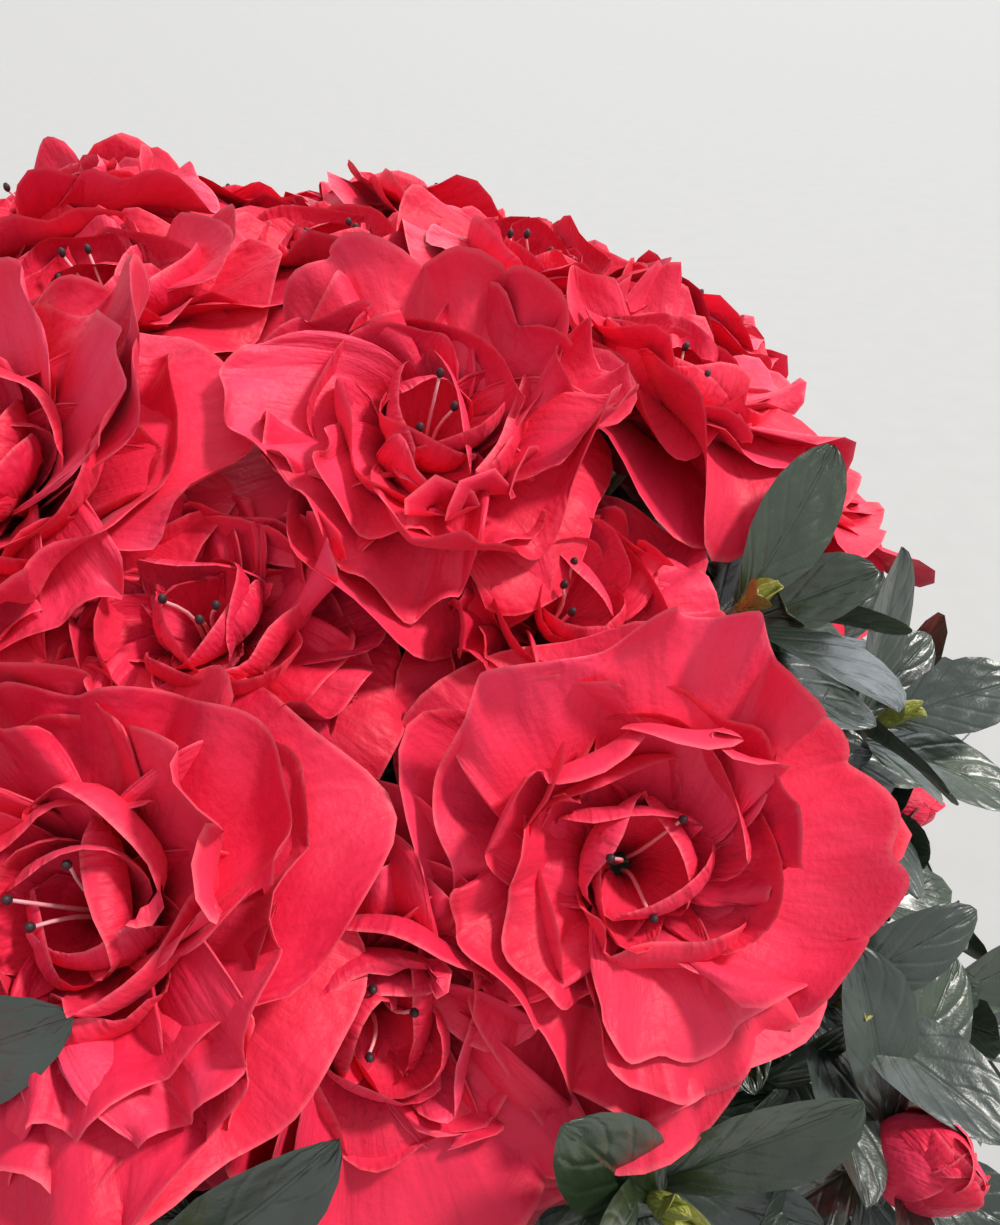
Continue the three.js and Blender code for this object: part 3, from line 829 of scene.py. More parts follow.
@dataclass
class PetalBatch:
    """Petals that share one grid.

    A measure of type Any is one number for all petals, or an array with one for each.
    `margin_waves` are rows of depth, count and salt. `ruffle_waves` are rows of depth, power by which they
    grow outwards, count, how much they come and go, how often they do, and salt.
    """

    seeds: Array
    turn: Any
    length: Any
    width: Any
    foot_radius: Any
    foot_height: Any
    start: Any
    rise: Any
    tip: Any
    cup: Any
    roll: Any
    twist: Any
    ruffle: Any
    curl: Any
    curl_in: float
    widest: float = 0.62
    claw: float = 0.16
    squareness: float = 0.82
    curl_from: float = 0.55
    most_curl: float = 2.7
    points_per_wave: float = 7.8
    margin_waves: tuple[tuple[float, float, int], ...] = ((0.035, 2.3, 1), (0.03, 8, 3), (0.009, 12, 5))
    ruffle_waves: tuple[tuple[float, ...], ...] = (
        (0.5, 2, 2.2, 0.25, 1.3, 7),
        (1, 3.2, 9, 0.4, 1.7, 11),
        (0.2, 6, 14, 0.5, 2.3, 15),
    )
    lips: Array = field(init=False)

    def __post_init__(self) -> None:
        """Gives every petal its own entry in each measure, and no lip."""
        each = np.ones((len(self.seeds), 1, 1))
        for measure in fields(self):
            if measure.type is Any:
                value = np.asarray(getattr(self, measure.name))
                setattr(self, measure.name, each * value.reshape(-1, 1, 1))
        self.lips = np.tile([0.0, 0.0, 1.0], (len(self.seeds), 1))

    def outline(self, columns: int) -> tuple[Array, Array]:
        """The margin of a flat petal of length 1 and half width 1, at equal steps along it.

        Args:
            columns: How many points the margin has.

        Returns:
            How far out each point lies, and how far across.
        """
        turn = np.linspace(0, math.pi / 2, 60)[1:]
        back = np.linspace(0.1, self.widest, 40)
        side = self.claw + (1 - self.claw) * np.sin(back / self.widest * math.pi / 2) ** 1.25
        front = self.widest + (1 - self.widest) * np.sin(turn) ** self.squareness
        out = np.concatenate([back, front])
        across = np.concatenate([side, np.cos(turn) ** self.squareness])
        out = np.concatenate([out, out[-2::-1]])
        across = np.concatenate([-across, across[-2::-1]])
        steps = np.hypot(np.diff(out), np.diff(across) * 0.5)
        along = np.concatenate([[0], np.cumsum(steps)]) / steps.sum()
        even = np.linspace(0, 1, columns)
        return np.interp(even, along, out), np.interp(even, along, across)

    def _random(self, low: float, high: float, salt: int) -> Array:
        """One seeded number for each petal."""
        values = [np.random.default_rng([int(seed), salt]).uniform(low, high) for seed in self.seeds]
        return np.array(values)[:, None, None]

    def _waves(self, across: Array, count: float, salt: int) -> Array:
        """Waves along the margin, with a seeded phase and an uneven count, as fine as the grid can hold."""
        number = min(count, across.size / self.points_per_wave) * self._random(0.8, 1.2, salt)
        return np.sin(math.pi * number * across + self._random(0, TURN, salt + 1))

    def _middle(self, out: Array) -> tuple[Array, Array, Array]:
        """The petal's middle line.

        Args:
            out: How far out along the petal, as shares of its length.

        Returns:
            The radius, height and slope there.
        """
        share = np.linspace(0, 1.15, 70)
        slope = self.start + (self.rise - self.start) * smoothstep(share, 0.16, 0.55)
        slope = np.radians(slope + self.tip * smoothstep(share, 0.55, 1.05))
        step = (share[1] - share[0]) * self.length
        runs = ((self.foot_radius, np.cos(slope) * step), (self.foot_height, np.sin(slope) * step))
        radius, height = (foot + np.cumsum(run, axis=2) - run[..., :1] for foot, run in runs)
        place = np.clip(out / share[-1] * (len(share) - 1), 0, len(share) - 1.001)
        low = place.astype(int)
        part = place - low
        petal = np.arange(len(low))[:, None, None]
        lines = (radius, height, slope)
        return tuple(line[petal, 0, low] * (1 - part) + line[petal, 0, low + 1] * part for line in lines)

    def grids(self, rows: int, columns: int) -> tuple[Array, Array]:
        """The petals' surfaces.

        Args:
            rows: Points from the foot out to the margin.
            columns: Points along the margin.

        Returns:
            Points in the bloom's own frame, as petal, row, column and axis, and the place of each point on a
            petal, as row, column and two numbers.
        """
        outwards = (1 - (1 - np.linspace(0, 1, rows)) ** 1.45)[None, :, None]
        across = np.linspace(-1, 1, columns)[None, None, :]
        edge_out, edge_across = self.outline(columns)
        over = 0.15 + 0.85 * smoothstep(across, -0.85, -0.1)
        free = smoothstep(edge_out, 0.3, 0.62) * over
        margin = 1
        for depth, count, salt in self.margin_waves:
            margin = margin + depth * self._waves(across, count, salt)
        out = outwards * edge_out * (1 + (margin - 1) * outwards)
        flat = ((1 - outwards) * across * self.claw + outwards * edge_across) * margin * self.width / 2
        radius, height, slope = self._middle(out)
        spread = smoothstep(out, 0.12, 0.6)
        bend = (1 - spread) / np.maximum(radius, 3) + spread * self.cup
        safe = np.where(np.abs(bend) < 1e-5, 1e-5, bend)
        ruffles = self._ruffles(outwards, across) * free
        raised = (1 - np.cos(flat * safe)) / safe + flat * (self.roll * spread + self.twist * out) + ruffles
        sideways = np.sin(flat * safe) / safe - np.sin(flat * bend) * ruffles * 0.5
        outward = radius - np.sin(slope) * raised
        turn = np.radians(self.turn)
        x = outward * np.cos(turn) - sideways * np.sin(turn)
        y = outward * np.sin(turn) + sideways * np.cos(turn)
        grid = np.stack([x, y, height + np.cos(slope) * raised], axis=-1)
        places = np.stack(np.broadcast_arrays(outwards[0], across[0]), axis=-1)
        return self._curled(grid, outwards, across, free), places

    def _ruffles(self, outwards: Array, across: Array) -> Array:
        """Ruffles the margin.

        Args:
            outwards: How far out each row of points lies.
            across: How far across each column lies.

        Returns:
            How far each point stands up from the petal's smooth form.
        """
        height = 0
        for depth, power, count, play, swells, salt in self.ruffle_waves:
            swell = 1 - play + play * self._waves(across, swells, salt + 2)
            waves = self._waves(across, count, salt) * swell
            height = height + depth * waves * outwards**power
        return height * self.ruffle

    def _curled(self, grid: Array, outwards: Array, across: Array, free: Array) -> Array:
        """Rolls the margins up or back, by an angle that changes along them.

        Args:
            grid: The petals' points.
            outwards: How far out each row of them lies.
            across: How far across each column lies.
            free: How freely each column curls.

        Returns:
            The rolled petals' points.
        """
        steps = np.diff(grid, axis=1)
        lengths = np.linalg.norm(steps, axis=-1, keepdims=True)
        ahead = steps / np.maximum(lengths, 1e-9)
        beside = np.gradient(grid, axis=2)
        normal = unit(np.cross(ahead, (beside[:, 1:] + beside[:, :-1]) / 2))
        amount = 0.5 * self._waves(across, 1.3, 19) + 0.3 * self._waves(across, 2.8, 21) + self.curl_in
        ranges = ((-0.8, 1.8, 43), (-0.5, 0.9, 23), (0.35, 0.7, 33))
        rolls = [[self._random(low, high, salt + k) for low, high, salt in ranges] for k in range(2)]
        for most, at, width in [*rolls, [self.lips[:, k, None, None] for k in range(3)]]:
            amount = amount + most * np.exp(-(((across - at) / width) ** 2))
        share = np.clip((outwards - self.curl_from) / (1 - self.curl_from), 0, 1)
        share = (share[:, 1:] + share[:, :-1]) / 2
        angle = np.radians(self.curl) * amount * free * share**1.2
        angle = (self.most_curl * np.tanh(angle / self.most_curl))[..., None]
        rolled = lengths * swing(ahead, normal, angle)
        return np.concatenate([grid[:, :1], grid[:, :1] + np.cumsum(rolled, axis=1)], axis=1)


@dataclass(frozen=True)
class Posed:
    """The pose of one petal of the front. Angles are in degrees.

    `turn` runs from the bloom's right, 0, over its lower side, 90. `lip` is how far its margin rolls up, in
    turns of the ring's own curl, at the place `lip_at` across it.
    """

    seed: int
    ring: int
    petal: int
    turn: float
    rise: float
    tip: float
    size: float = 1
    lip: float = 0
    lip_at: float = 0
    lip_width: float = 0.5

    def put(self, batch: PetalBatch) -> None:
        """Gives the pose to the petal in its ring.

        Args:
            batch: The ring's petals.
        """
        for name in ("turn", "rise", "tip"):
            getattr(batch, name)[self.petal] = getattr(self, name)
        batch.length[self.petal] *= self.size
        batch.width[self.petal] *= self.size
        batch.lips[self.petal] = (self.lip, self.lip_at, self.lip_width)


@dataclass
class Drape:
    """A map of the crown, seen from its centre, of how far the petals laid so far stand out.

    A petal that would run through those that were laid before it is raised onto them. `cell` and `reach` are
    degrees from straight up. Petals lie `gap` apart, and one that lies deeper than `most` stays where it is.
    """

    centre: Array
    cell: float = 0.3
    reach: float = 130
    gap: float = 0.6
    most: float = 9.0
    marks: tuple[int, int] = (48, 90)
    middle: int = field(init=False)
    heights: Array = field(init=False)

    def __post_init__(self) -> None:
        """Starts an empty map."""
        self.middle = int(self.reach / self.cell)
        self.heights = np.zeros((2 * self.middle + 1, 2 * self.middle + 1))

    def _places(self, points: Array) -> tuple[Array, Array, Array]:
        """Finds points on the map.

        Args:
            points: Points of the crown.

        Returns:
            How far they lie from the centre, and the row and column that each falls in.
        """
        apart = points - self.centre
        radius = np.linalg.norm(apart, axis=-1)
        down = np.minimum(np.degrees(np.arccos(apart[..., 2] / radius)) / self.cell, self.middle - 2)
        around = np.arctan2(apart[..., 1], apart[..., 0])
        rows, columns = (np.rint(self.middle + down * part(around)).astype(int) for part in (np.cos, np.sin))
        return radius, rows, columns

    def _near(self, table: Array) -> Array:
        """Gathers neighbours.

        Args:
            table: Rows and columns of numbers.

        Returns:
            Nine tables: the entries and their eight neighbours.
        """
        rows, columns = table.shape
        wide = np.pad(table, 1, mode="edge")
        return np.array([wide[i : i + rows, j : j + columns] for i in range(3) for j in range(3)])

    def lay(self, grids: Array, raised: bool) -> None:
        """Lays petals on the map.

        Args:
            grids: The petals' points, which move where they are raised.
            raised: True to raise each petal onto those below it.
        """
        for petal in grids:
            if raised:
                radius, rows, columns = self._places(petal)
                around = [(i, j) for i in (-1, 0, 1) for j in (-1, 0, 1)]
                below = np.max([self.heights[rows + i, columns + j] for i, j in around], axis=0)
                lack = below + self.gap - radius
                lift = np.maximum(lack, 0) * (1 - smoothstep(lack, 0.6 * self.most, self.most))
                lift = lift * smoothstep(np.linspace(0, 1, len(petal)), 0.15, 0.4)[:, None]
                lift = self._near(self._near(self._near(lift).max(axis=0)).mean(axis=0)).mean(axis=0)
                petal += unit(petal - self.centre) * lift[..., None]
            self._mark(petal)

    def pierced(self, points: Array) -> bool:
        """Looks for petals in a leaf's way.

        Args:
            points: A row of points along the leaf.

        Returns:
            True if they run from under the petals to above them.
        """
        radius, rows, columns = self._places(points)
        petals = self.heights[rows, columns]
        return bool(np.any(radius < petals) and np.any((petals > 0) & (radius > petals)))

    def _mark(self, petal: Array) -> None:
        """Marks a petal on the map, from points closer than a cell.

        Args:
            petal: Its grid of points.
        """
        down = np.linspace(0.2 * (len(petal) - 1), len(petal) - 1.001, self.marks[0])
        along = np.linspace(0, petal.shape[1] - 1.001, self.marks[1])
        i, j = down.astype(int), along.astype(int)
        a, b = (down - i)[:, None, None], (along - j)[None, :, None]
        upper, lower = (petal[row][:, j] * (1 - b) + petal[row][:, j + 1] * b for row in (i, i + 1))
        radius, rows, columns = self._places(upper * (1 - a) + lower * a)
        np.maximum.at(self.heights, (rows, columns), radius)


@dataclass
class Blooms:
    """All double blooms, with their crowding rule, and the stamens in their hearts."""

    crown: Crown
    thickness: float = 0.4
    neighbour_reach: float = 100
    crowding: float = 4
    roundness: float = 4
    widest_room: float = 90
    least_share: float = 0.36
    lift_for_room: float = 60
    lift_for_over: float = 8
    overlap: float = 1.24
    under_overlap: float = 1.6
    turn_up: float = 0.5
    tuck: float = 0.3
    near: tuple[int, ...] = (0, 1, 2, 8, 9, 10, 11)
    shown_side: tuple[float, float, float] = (0.1, -0.55, 0.83)
    shown_share: float = 0.66
    whorls: tuple[Whorl, ...] = (
        Whorl(5, 52, 58, (4.8, -29), 62, -3, 3, -6, 8, 0.004, 3.0, 0, 18, ((8, 35), (7, 25), (6, 19))),
        Whorl(5, 53, 62, (4.6, -25), 66, 4, 4, -5, 11, 0.006, 4.6, 0.1, 24, ((13, 87), (10, 43), (8, 31))),
        Whorl(4, 39, 50, (4.2, -23), 66, 18, 7, -2, 20, 0.012, 4.0, 0.2, 34, ((12, 67), (9, 35), (7, 23))),
        Whorl(5, 32, 38, (3.4, -21), 60, 37, 8, 54, 14, 0.045, 1.8, 0.6, 28, ((10, 33), (8, 23), (7, 17))),
        Whorl(5, 25, 27, (2.0, -18), 72, 56, 9, 56, 20, 0.07, 1.2, 0.7, 26, ((8, 21), (6, 15), (5, 11))),
    )
    posed: tuple[Posed, ...] = (
        Posed(0, 1, 0, 2, 4, -8, 0.92),
        Posed(0, 1, 1, 62, 2, -6, 0.88),
        Posed(0, 1, 2, 128, 2, -4, 0.88),
        Posed(0, 1, 3, 200, 10, 0),
        Posed(0, 1, 4, 268, 22, -4, 1.12, 2.6, 0.7, 0.35),
        Posed(0, 2, 0, 246, 38, 6, 1.05, 1.5, 0.05, 0.9),
        Posed(0, 2, 1, 316, 36, 14, 0.9, 1.2, -0.2, 0.9),
        Posed(0, 2, 2, 178, 30, -10, 0.9),
        Posed(0, 2, 3, 60, 12, -2, 0.9),
        Posed(1, 1, 0, 226, 22, 0, 1.1),
        Posed(1, 1, 1, 286, 24, 0, 1.1),
        Posed(1, 1, 2, 350, 8, -6, 1.05),
        Posed(1, 1, 3, 62, 0, -10),
        Posed(1, 1, 4, 150, 2, -10, 1.05),
        Posed(3, 1, 0, 76, -16, -20, 0.9, -0.8, 0, 1),
        Posed(21, 1, 0, 76, -8, -14, 0.92, -1.3, 0, 1),
        Posed(21, 1, 1, 148, -8, -14, 0.92, -1.3, 0, 1),
        Posed(21, 2, 0, 116, 6, -14, 0.9, -1.2, 0, 1),
        Posed(11, 1, 0, 88, -22, -14, 1.14),
        Posed(11, 1, 1, 160, 10, -30, 0.9),
        Posed(11, 2, 0, 70, 0, -10, 1.32),
        Posed(11, 2, 1, 118, 4, -14, 1.25),
    )
    swells: tuple[tuple[int, float], ...] = ((2, 2.6), (3, 3.2), (5, 2.4), (8, 1.3))
    swell_radius: float = 45
    full_radius: float = 49
    least_length: float = 0.7
    free_length: float = 0.84
    free_droop: float = 20
    first_turn: float = 36
    ring_turn: float = 40
    hang: float = 9
    roll: float = 0.19
    outer: int = 2
    heart: int = 3
    stamens: int = 3
    stamen_length: float = 20
    stamen_depth: float = 15
    patches: dict[str, Patchwork] = field(default_factory=dict)
    drape: Drape = field(init=False)

    def grow(self) -> None:
        """Makes the petals of every bloom: all lowest rings first, then bloom by bloom, lower ones first."""
        blooms = [site for site in self.crown.sites if site.kind is Kind.BLOOM]
        blooms.sort(key=lambda site: site.lift)
        self.drape = Drape(np.array(self.crown.centre))
        rooms = [self._room(site, blooms) for site in blooms]
        for rings in ((0,), range(1, len(self.whorls))):
            for site, room in zip(blooms, rooms):
                for number in rings:
                    self._grow_whorl(site, number, room)
        for site in blooms:
            self._grow_stamens(site)

    def _patch_of(self, site: Site) -> Patchwork:
        """Chooses a bloom's piece by its place on the crown.

        Args:
            site: The bloom's place.

        Returns:
            The piece.
        """
        side = "right" if site.direction[0] > 0 else "left"
        name = f"{'back' if site.direction[1] > 0.05 else 'front'}_{side}"
        if site.seed in self.near:
            name = "near_right" if site.direction[0] > 0.2 else "near_left"
        return self.patches.setdefault(f"{name}_blooms", Patchwork())

    def _coarseness(self, site: Site) -> int:
        """0 for the blooms that are seen closest, 1 for those on the shown side and 2 for the rest."""
        shown = float(np.dot(site.direction, self.shown_side)) > self.shown_share
        return 0 if site.seed in self.near else 1 if shown else 2

    def _room(self, site: Site, blooms: list[Site]) -> Array:
        """How far a bloom may spread, and whether it lies over or under the neighbour that stops it.

        Args:
            site: The bloom's place.
            blooms: The places of all blooms.

        Returns:
            For each of 181 angles, the room in millimetres and from -1, under, to 1, over.
        """
        heading = swing(site.side, site.other, np.linspace(0, TURN, 181)[:, None])
        tightness = np.full(len(heading), self.widest_room**-self.roundness)
        over = np.zeros(len(heading))
        for other in blooms:
            apart = other.point - site.point
            if other is site or np.linalg.norm(apart) >= self.neighbour_reach:
                continue
            level = apart - site.face * np.dot(apart, site.face)
            above = site.lift - other.lift
            share = float(np.clip(0.5 + above / self.lift_for_room, self.least_share, 1 - self.least_share))
            half = float(np.linalg.norm(level)) * share
            nearness = (np.maximum(heading @ unit(level), 0) / half) ** self.roundness
            tightness += nearness
            over += nearness * float(np.clip(above / self.lift_for_over, -1, 1))
        return np.stack([tightness ** (-1 / self.roundness), over / tightness])

    def _swelled(self, site: Site, grid: Array) -> Array:
        """Raises and lowers petals together, by broad waves that run round the whole bloom.

        Args:
            site: The bloom's place.
            grid: The petals, in the bloom's own frame.

        Returns:
            The same petals, moved.
        """
        rng = np.random.default_rng([site.seed, 31])
        radius = np.hypot(grid[..., 0], grid[..., 1])
        angle = np.arctan2(grid[..., 1], grid[..., 0])
        height = np.zeros_like(radius)
        for waves, swell in self.swells:
            height += swell * rng.uniform(0.5, 1.2) * np.sin(waves * angle + rng.uniform(0, TURN))
        grid[..., 2] += height * np.minimum(radius / self.swell_radius, 1.2) ** 2
        return grid

    def _crowded(self, grid: Array, room: Array, rng: np.random.Generator, lowest: bool) -> Array:
        """Draws the petals in where neighbours crowd them.

        Args:
            grid: The petals, in the bloom's own frame.
            room: The room and the order over or under, by angle.
            rng: For each petal's own play.
            lowest: True for the lowest ring, which slips under the neighbours.

        Returns:
            The petals, turned up by what they lose, or laid over or under their neighbour.
        """
        radius = np.hypot(grid[..., 0], grid[..., 1])
        angle = np.arctan2(grid[..., 1], grid[..., 0]) % TURN
        turns = np.linspace(0, TURN, room.shape[1])
        play = rng.uniform(0, TURN, (len(grid), 1, 1))
        overlap = self.under_overlap if lowest else self.overlap
        limit = np.interp(angle, turns, room[0]) * overlap * (1 + 0.1 * np.sin(5 * angle + play))
        over = np.full_like(limit, -1) if lowest else np.interp(angle, turns, room[1])
        squeeze = (1 + (radius / limit) ** self.crowding) ** (-1 / self.crowding)
        squeezed = grid * np.stack([squeeze, squeeze, np.ones_like(squeeze)], axis=-1)
        squeezed[..., 2] += (self.turn_up * (1 - over**2) + self.tuck * over) * radius * (1 - squeeze)
        return squeezed

    def _grow_whorl(self, site: Site, number: int, room: Array) -> None:
        """Makes one ring of petals.

        Args:
            site: The bloom's place.
            number: 0 for the outermost ring.
            room: How far the bloom may spread, by angle.
        """
        whorl = self.whorls[number]
        rng = np.random.default_rng([site.seed, number, 7])
        dealt = partial(rng.uniform, size=whorl.count)
        outer, lowest = number < self.outer, number == 0
        stray = 6 if outer else 14
        turn = self.first_turn + np.arange(whorl.count) * 360 / whorl.count + number * self.ring_turn
        turn = turn + dealt(-stray, stray)
        outward = swing(site.side, site.other, np.radians(turn)[:, None])
        free = np.interp(np.radians(turn % 360), np.linspace(0, TURN, room.shape[1]), room[0])
        alone = free > self.full_radius
        fit = np.clip(free * self.overlap / self.full_radius, self.least_length, 1)
        if lowest:
            fit = np.where(alone, self.free_length, 1)
        elif number >= self.heart:
            fit = 1
        batch = PetalBatch(
            seeds=site.seed * 1000 + number * 100 + np.arange(whorl.count),
            turn=turn,
            length=whorl.length * fit * site.size * dealt(0.94, 1.05),
            width=whorl.width * site.size * dealt(0.88, 1.1),
            foot_radius=whorl.foot[0],
            foot_height=whorl.foot[1] + dealt(-1, 1),
            start=whorl.start + dealt(-4, 4),
            rise=whorl.rise + self.hang * np.minimum(outward[:, 2], 0.2) + dealt(-1, 1) * whorl.rise_stray,
            tip=whorl.tip + dealt(-1, 1) * whorl.tip_stray - self.free_droop * alone * outer,
            cup=whorl.cup * dealt(0.3, 1.6),
            roll=self.roll + dealt(-0.05, 0.05),
            twist=dealt(-0.08, 0.08) * (1 + number * 0.8),
            ruffle=whorl.ruffle * dealt(0.6, 1.2) * (0.75 + 0.6 * chance(site.seed + 0.6)),
            curl=whorl.curl * (1 - 0.25 * self._coarseness(site)),
            curl_in=whorl.curl_in,
        )
        for posed in self.posed:
            if posed.seed == site.seed and posed.ring == number:
                posed.put(batch)
        grids, places = batch.grids(*whorl.grids[self._coarseness(site)])
        grids = site.placed(self._crowded(self._swelled(site, grids), room, rng, lowest))
        self.drape.lay(grids, number < self.heart)
        tint = rng.integers(0, len(PETALS), whorl.count)
        self._patch_of(site).add_shells(grids, places, self.thickness, tint, tint)

    def _grow_stamens(self, site: Site) -> None:
        """Adds a few pale filaments with dark tips to the heart.

        Args:
            site: The bloom's place.
        """
        patch = self.patches.setdefault("stamens", Patchwork())
        rng = np.random.default_rng([site.seed, 99])
        for _ in range(self.stamens):
            outward = swing(site.side, site.other, rng.uniform(0, TURN))
            length = self.stamen_length * rng.uniform(0.8, 1.1)
            foot = site.point - site.face * self.stamen_depth + outward * 1.5
            tip = foot + site.face * length + outward * rng.uniform(2, 9)
            filament = Sweep.between(foot, site.face, tip, unit(site.face + outward * 0.6))
            patch.add_tube(filament, 5, np.linspace(0.5, 0.32, 7), 0)
            anther = Sweep.between(tip - site.face * 0.3, site.face, tip + site.face * 1.9, site.face)
            patch.add_tube(anther, 7, 0.85 * np.sin(np.linspace(0.25, math.pi - 0.25, 6)) ** 0.6, 1)


@dataclass
class Leaf:
    """One leaf: its root, the ways that it runs and faces, its size, its seed, and whether it is young."""

    root: Array
    along: Array
    normal: Array
    size: float
    seed: float
    young: bool = False

    @classmethod
    def leaning(cls, root: Array, axis: Array, outward: Array, angle: float, *rest: Any) -> "Leaf":
        """A leaf that leans from its twig's axis outwards, by an angle in degrees."""
        lean = math.radians(angle)
        return cls(root, swing(axis, outward, lean), swing(-outward, axis, lean), *rest)


@dataclass
class Foliage:
    """The twigs, the whorls of leaves at their tips, and the finer side twigs with whorls of their own."""

    crown: Crown
    drape: Drape
    leaf_length: float = 44
    leaf_width: float = 18
    leaf_thickness: float = 0.35
    leaf_step: float = 2.6
    least_leaf: float = 0.78
    leaf_jitter: float = 0.32
    opening_jitter: float = 10
    fine_grid: tuple[int, int] = (10, 7)
    plain_grid: tuple[int, int] = (6, 5)
    droop: float = 34
    least_height: float = 35
    stem_radius: float = 2.9
    twig_radius: float = 2.2
    twig_tip_radius: float = 1.3
    side_leaves: int = 6
    side_scale: float = 0.78
    side_reach: float = 34
    side_depth_jitter: float = 18
    leaf_bud_length: float = 12
    leaf_bud_radius: float = 2.4
    young_leaves: int = 2
    young_size: float = 0.3
    young_opening: float = 12
    bloom_spread: float = 37
    bloom_heights: tuple[float, float] = (-24, 14)
    # A site's number, then the azimuth, elevation and lift of the tip of one more leaf that grows from it.
    strays: tuple[tuple[int, float, float, float], ...] = (
        (18, 2, 35.5, 23),
        (17, 13, 28, 17),
        (16, 25, 27, 12),
        (4, 50, 71, -2),
        (1, 58, 75, -4),
        (5, 44, 74, -7),
    )
    stray_size: float = 1.15
    leaves: dict[str, list[Leaf]] = field(default_factory=dict)
    wood: Patchwork = field(default_factory=Patchwork)
    patches: dict[str, Patchwork] = field(default_factory=dict)

    def grow(self) -> None:
        """Grows all twigs, then their leaves, then makes the leaves of each piece."""
        for mass in self.crown.masses:
            start = self.crown.point(mass.direction, self.crown.limb_reach, -1)
            end = self.crown.point(mass.direction, mass.ring.fork, 2)
            stem = Sweep.between(start, mass.direction, end, mass.direction)
            self.wood.add_tube(stem, 8, np.full(4, self.stem_radius), 0)
        for site in self.crown.sites:
            growth = GROWTHS[site.kind]
            radii = np.linspace(self.twig_radius + 0.6, self.twig_tip_radius + 0.5, 9)
            self.wood.add_tube(site.twig, 7, radii, 0)
            self._whorl(site, site.twig, growth.leaves, growth.opening, 1.0, site.seed)
            self._side_twigs(site)
        for number, azimuth, elevation, lift in self.strays:
            direction = facing(azimuth, elevation)
            tip = self.crown.point(direction, 1, lift)
            along = unit(tip - self.crown.sites[number].twig.at(1.0))
            normal = unit(direction - along * np.dot(direction, along))
            root = tip - along * self.leaf_length * self.stray_size
            self.leaves["front_leaves"].append(Leaf(root, along, normal, self.stray_size, number * 7))
        for name, leaves in self.leaves.items():
            self._make_leaves(name, leaves)

    def _side_twigs(self, site: Site) -> None:
        """Grows finer twigs from a twig, each with a small whorl of leaves at its tip.

        Args:
            site: The site of the twig that bears them.
        """
        growth = GROWTHS[site.kind]
        for k in range(growth.side_twigs):
            seed = site.seed * 10 + k + 0.37
            away = swing(*square_to(site.direction), k * GOLDEN_TURN + site.seed)
            spread = self.side_reach * (0.75 + 0.5 * chance(seed))
            direction = unit(site.point + away * spread - np.array(self.crown.centre))
            depth = growth.side_depth + self.side_depth_jitter * chance(seed + 1)
            tip = self.crown.point(direction, 1, -depth)
            share = 0.3 + 0.4 * chance(seed + 2)
            leaving = unit(site.twig.tangent(share) + away * 0.6)
            arriving = unit(direction + away * 0.5 + np.array([0, 0, 0.25]))
            twig = Sweep.between(site.twig.at(share), leaving, tip, arriving, self.crown.twig_pull)
            self.wood.add_tube(twig, 5, np.linspace(self.twig_radius, self.twig_tip_radius, 7), 0)
            self._whorl(site, twig, self.side_leaves, growth.side_opening, self.side_scale, seed * 7)

    def _whorl(
        self, site: Site, twig: Sweep, count: int, opening: float, scale: float, seed: float
    ) -> None:
        """Notes the leaves of one whorl, each a golden turn and a step down from the one above.

        Args:
            site: The site that the twig belongs to.
            twig: The twig that bears the whorl.
            count: How many grown leaves it has.
            opening: How far the topmost leaf leans from the twig, in degrees.
            scale: Size of its leaves.
            seed: For its turns and sizes.
        """
        axis = twig.tangent(1.0)
        tip = twig.at(1.0)
        side, other = square_to(axis)
        fine = site.seed < len(self.crown.front_blooms) + len(self.crown.front_shoots)
        name = "front_leaves" if fine else "right_leaves" if site.direction[0] > 0 else "left_leaves"
        leaves = self.leaves.setdefault(name, [])
        for i in range(count):
            node = tip - axis * self.leaf_step * (i + 1)
            outward = swing(side, other, i * GOLDEN_TURN + seed)
            angle = opening + self.droop * i / count + self.opening_jitter * (chance(seed + i * 0.7) - 0.5)
            size = scale * (self.least_leaf + self.leaf_jitter * chance(seed * 3 + i))
            leaf = Leaf.leaning(node, axis, outward, angle, size, seed * 31 + i)
            end = node + leaf.along * self.leaf_length * size
            if end[2] >= self.least_height and not self._meets_bloom(node, end):
                leaves.append(leaf)
        bud_tip = tip + (axis + side * 0.12) * self.leaf_bud_length * scale
        if site.kind is not Kind.SHOOT or scale < 1 or self._meets_bloom(tip, bud_tip):
            return
        bud = Sweep.between(tip, axis, bud_tip, axis)
        radii = self.leaf_bud_radius * scale * np.sin(np.linspace(0.5, math.pi - 0.08, 8)) ** 0.8
        self.patches.setdefault(name, Patchwork()).add_tube(bud, 8, radii, LEAVES.index(YOUNG_LEAF))
        for i in range(self.young_leaves):
            outward = swing(side, other, (count + i) * GOLDEN_TURN + seed)
            size = scale * (self.young_size + 0.05 * i)
            angle = self.young_opening + 14 * i
            leaves.append(Leaf.leaning(tip - axis, axis, outward, angle, size, seed * 17 + i, True))

    def _meets_bloom(self, node: Array, end: Array) -> bool:
        """Looks for blooms in a leaf's way.

        Args:
            node: The leaf's root.
            end: Its tip.

        Returns:
            True if it would run through the petals of a bloom.
        """
        points = node + (end - node) * np.array([0.3, 0.5, 0.75, 1.0])[:, None]
        if self.drape.pierced(points):
            return True
        low, high = self.bloom_heights
        for site in self.crown.sites:
            if site.kind is not Kind.BLOOM or np.linalg.norm(site.point - end) > 3 * self.bloom_spread:
                continue
            apart = points - site.point
            height = apart @ site.face
            spread = np.linalg.norm(apart - height[:, None] * site.face, axis=1)
            if np.any((spread < self.bloom_spread) & (height > low) & (height < high)):
                return True
        return False

    def _make_leaves(self, name: str, leaves: list[Leaf]) -> None:
        """Makes leaves as curved, folded shells.

        Args:
            name: The piece that they go into.
            leaves: The leaves.
        """

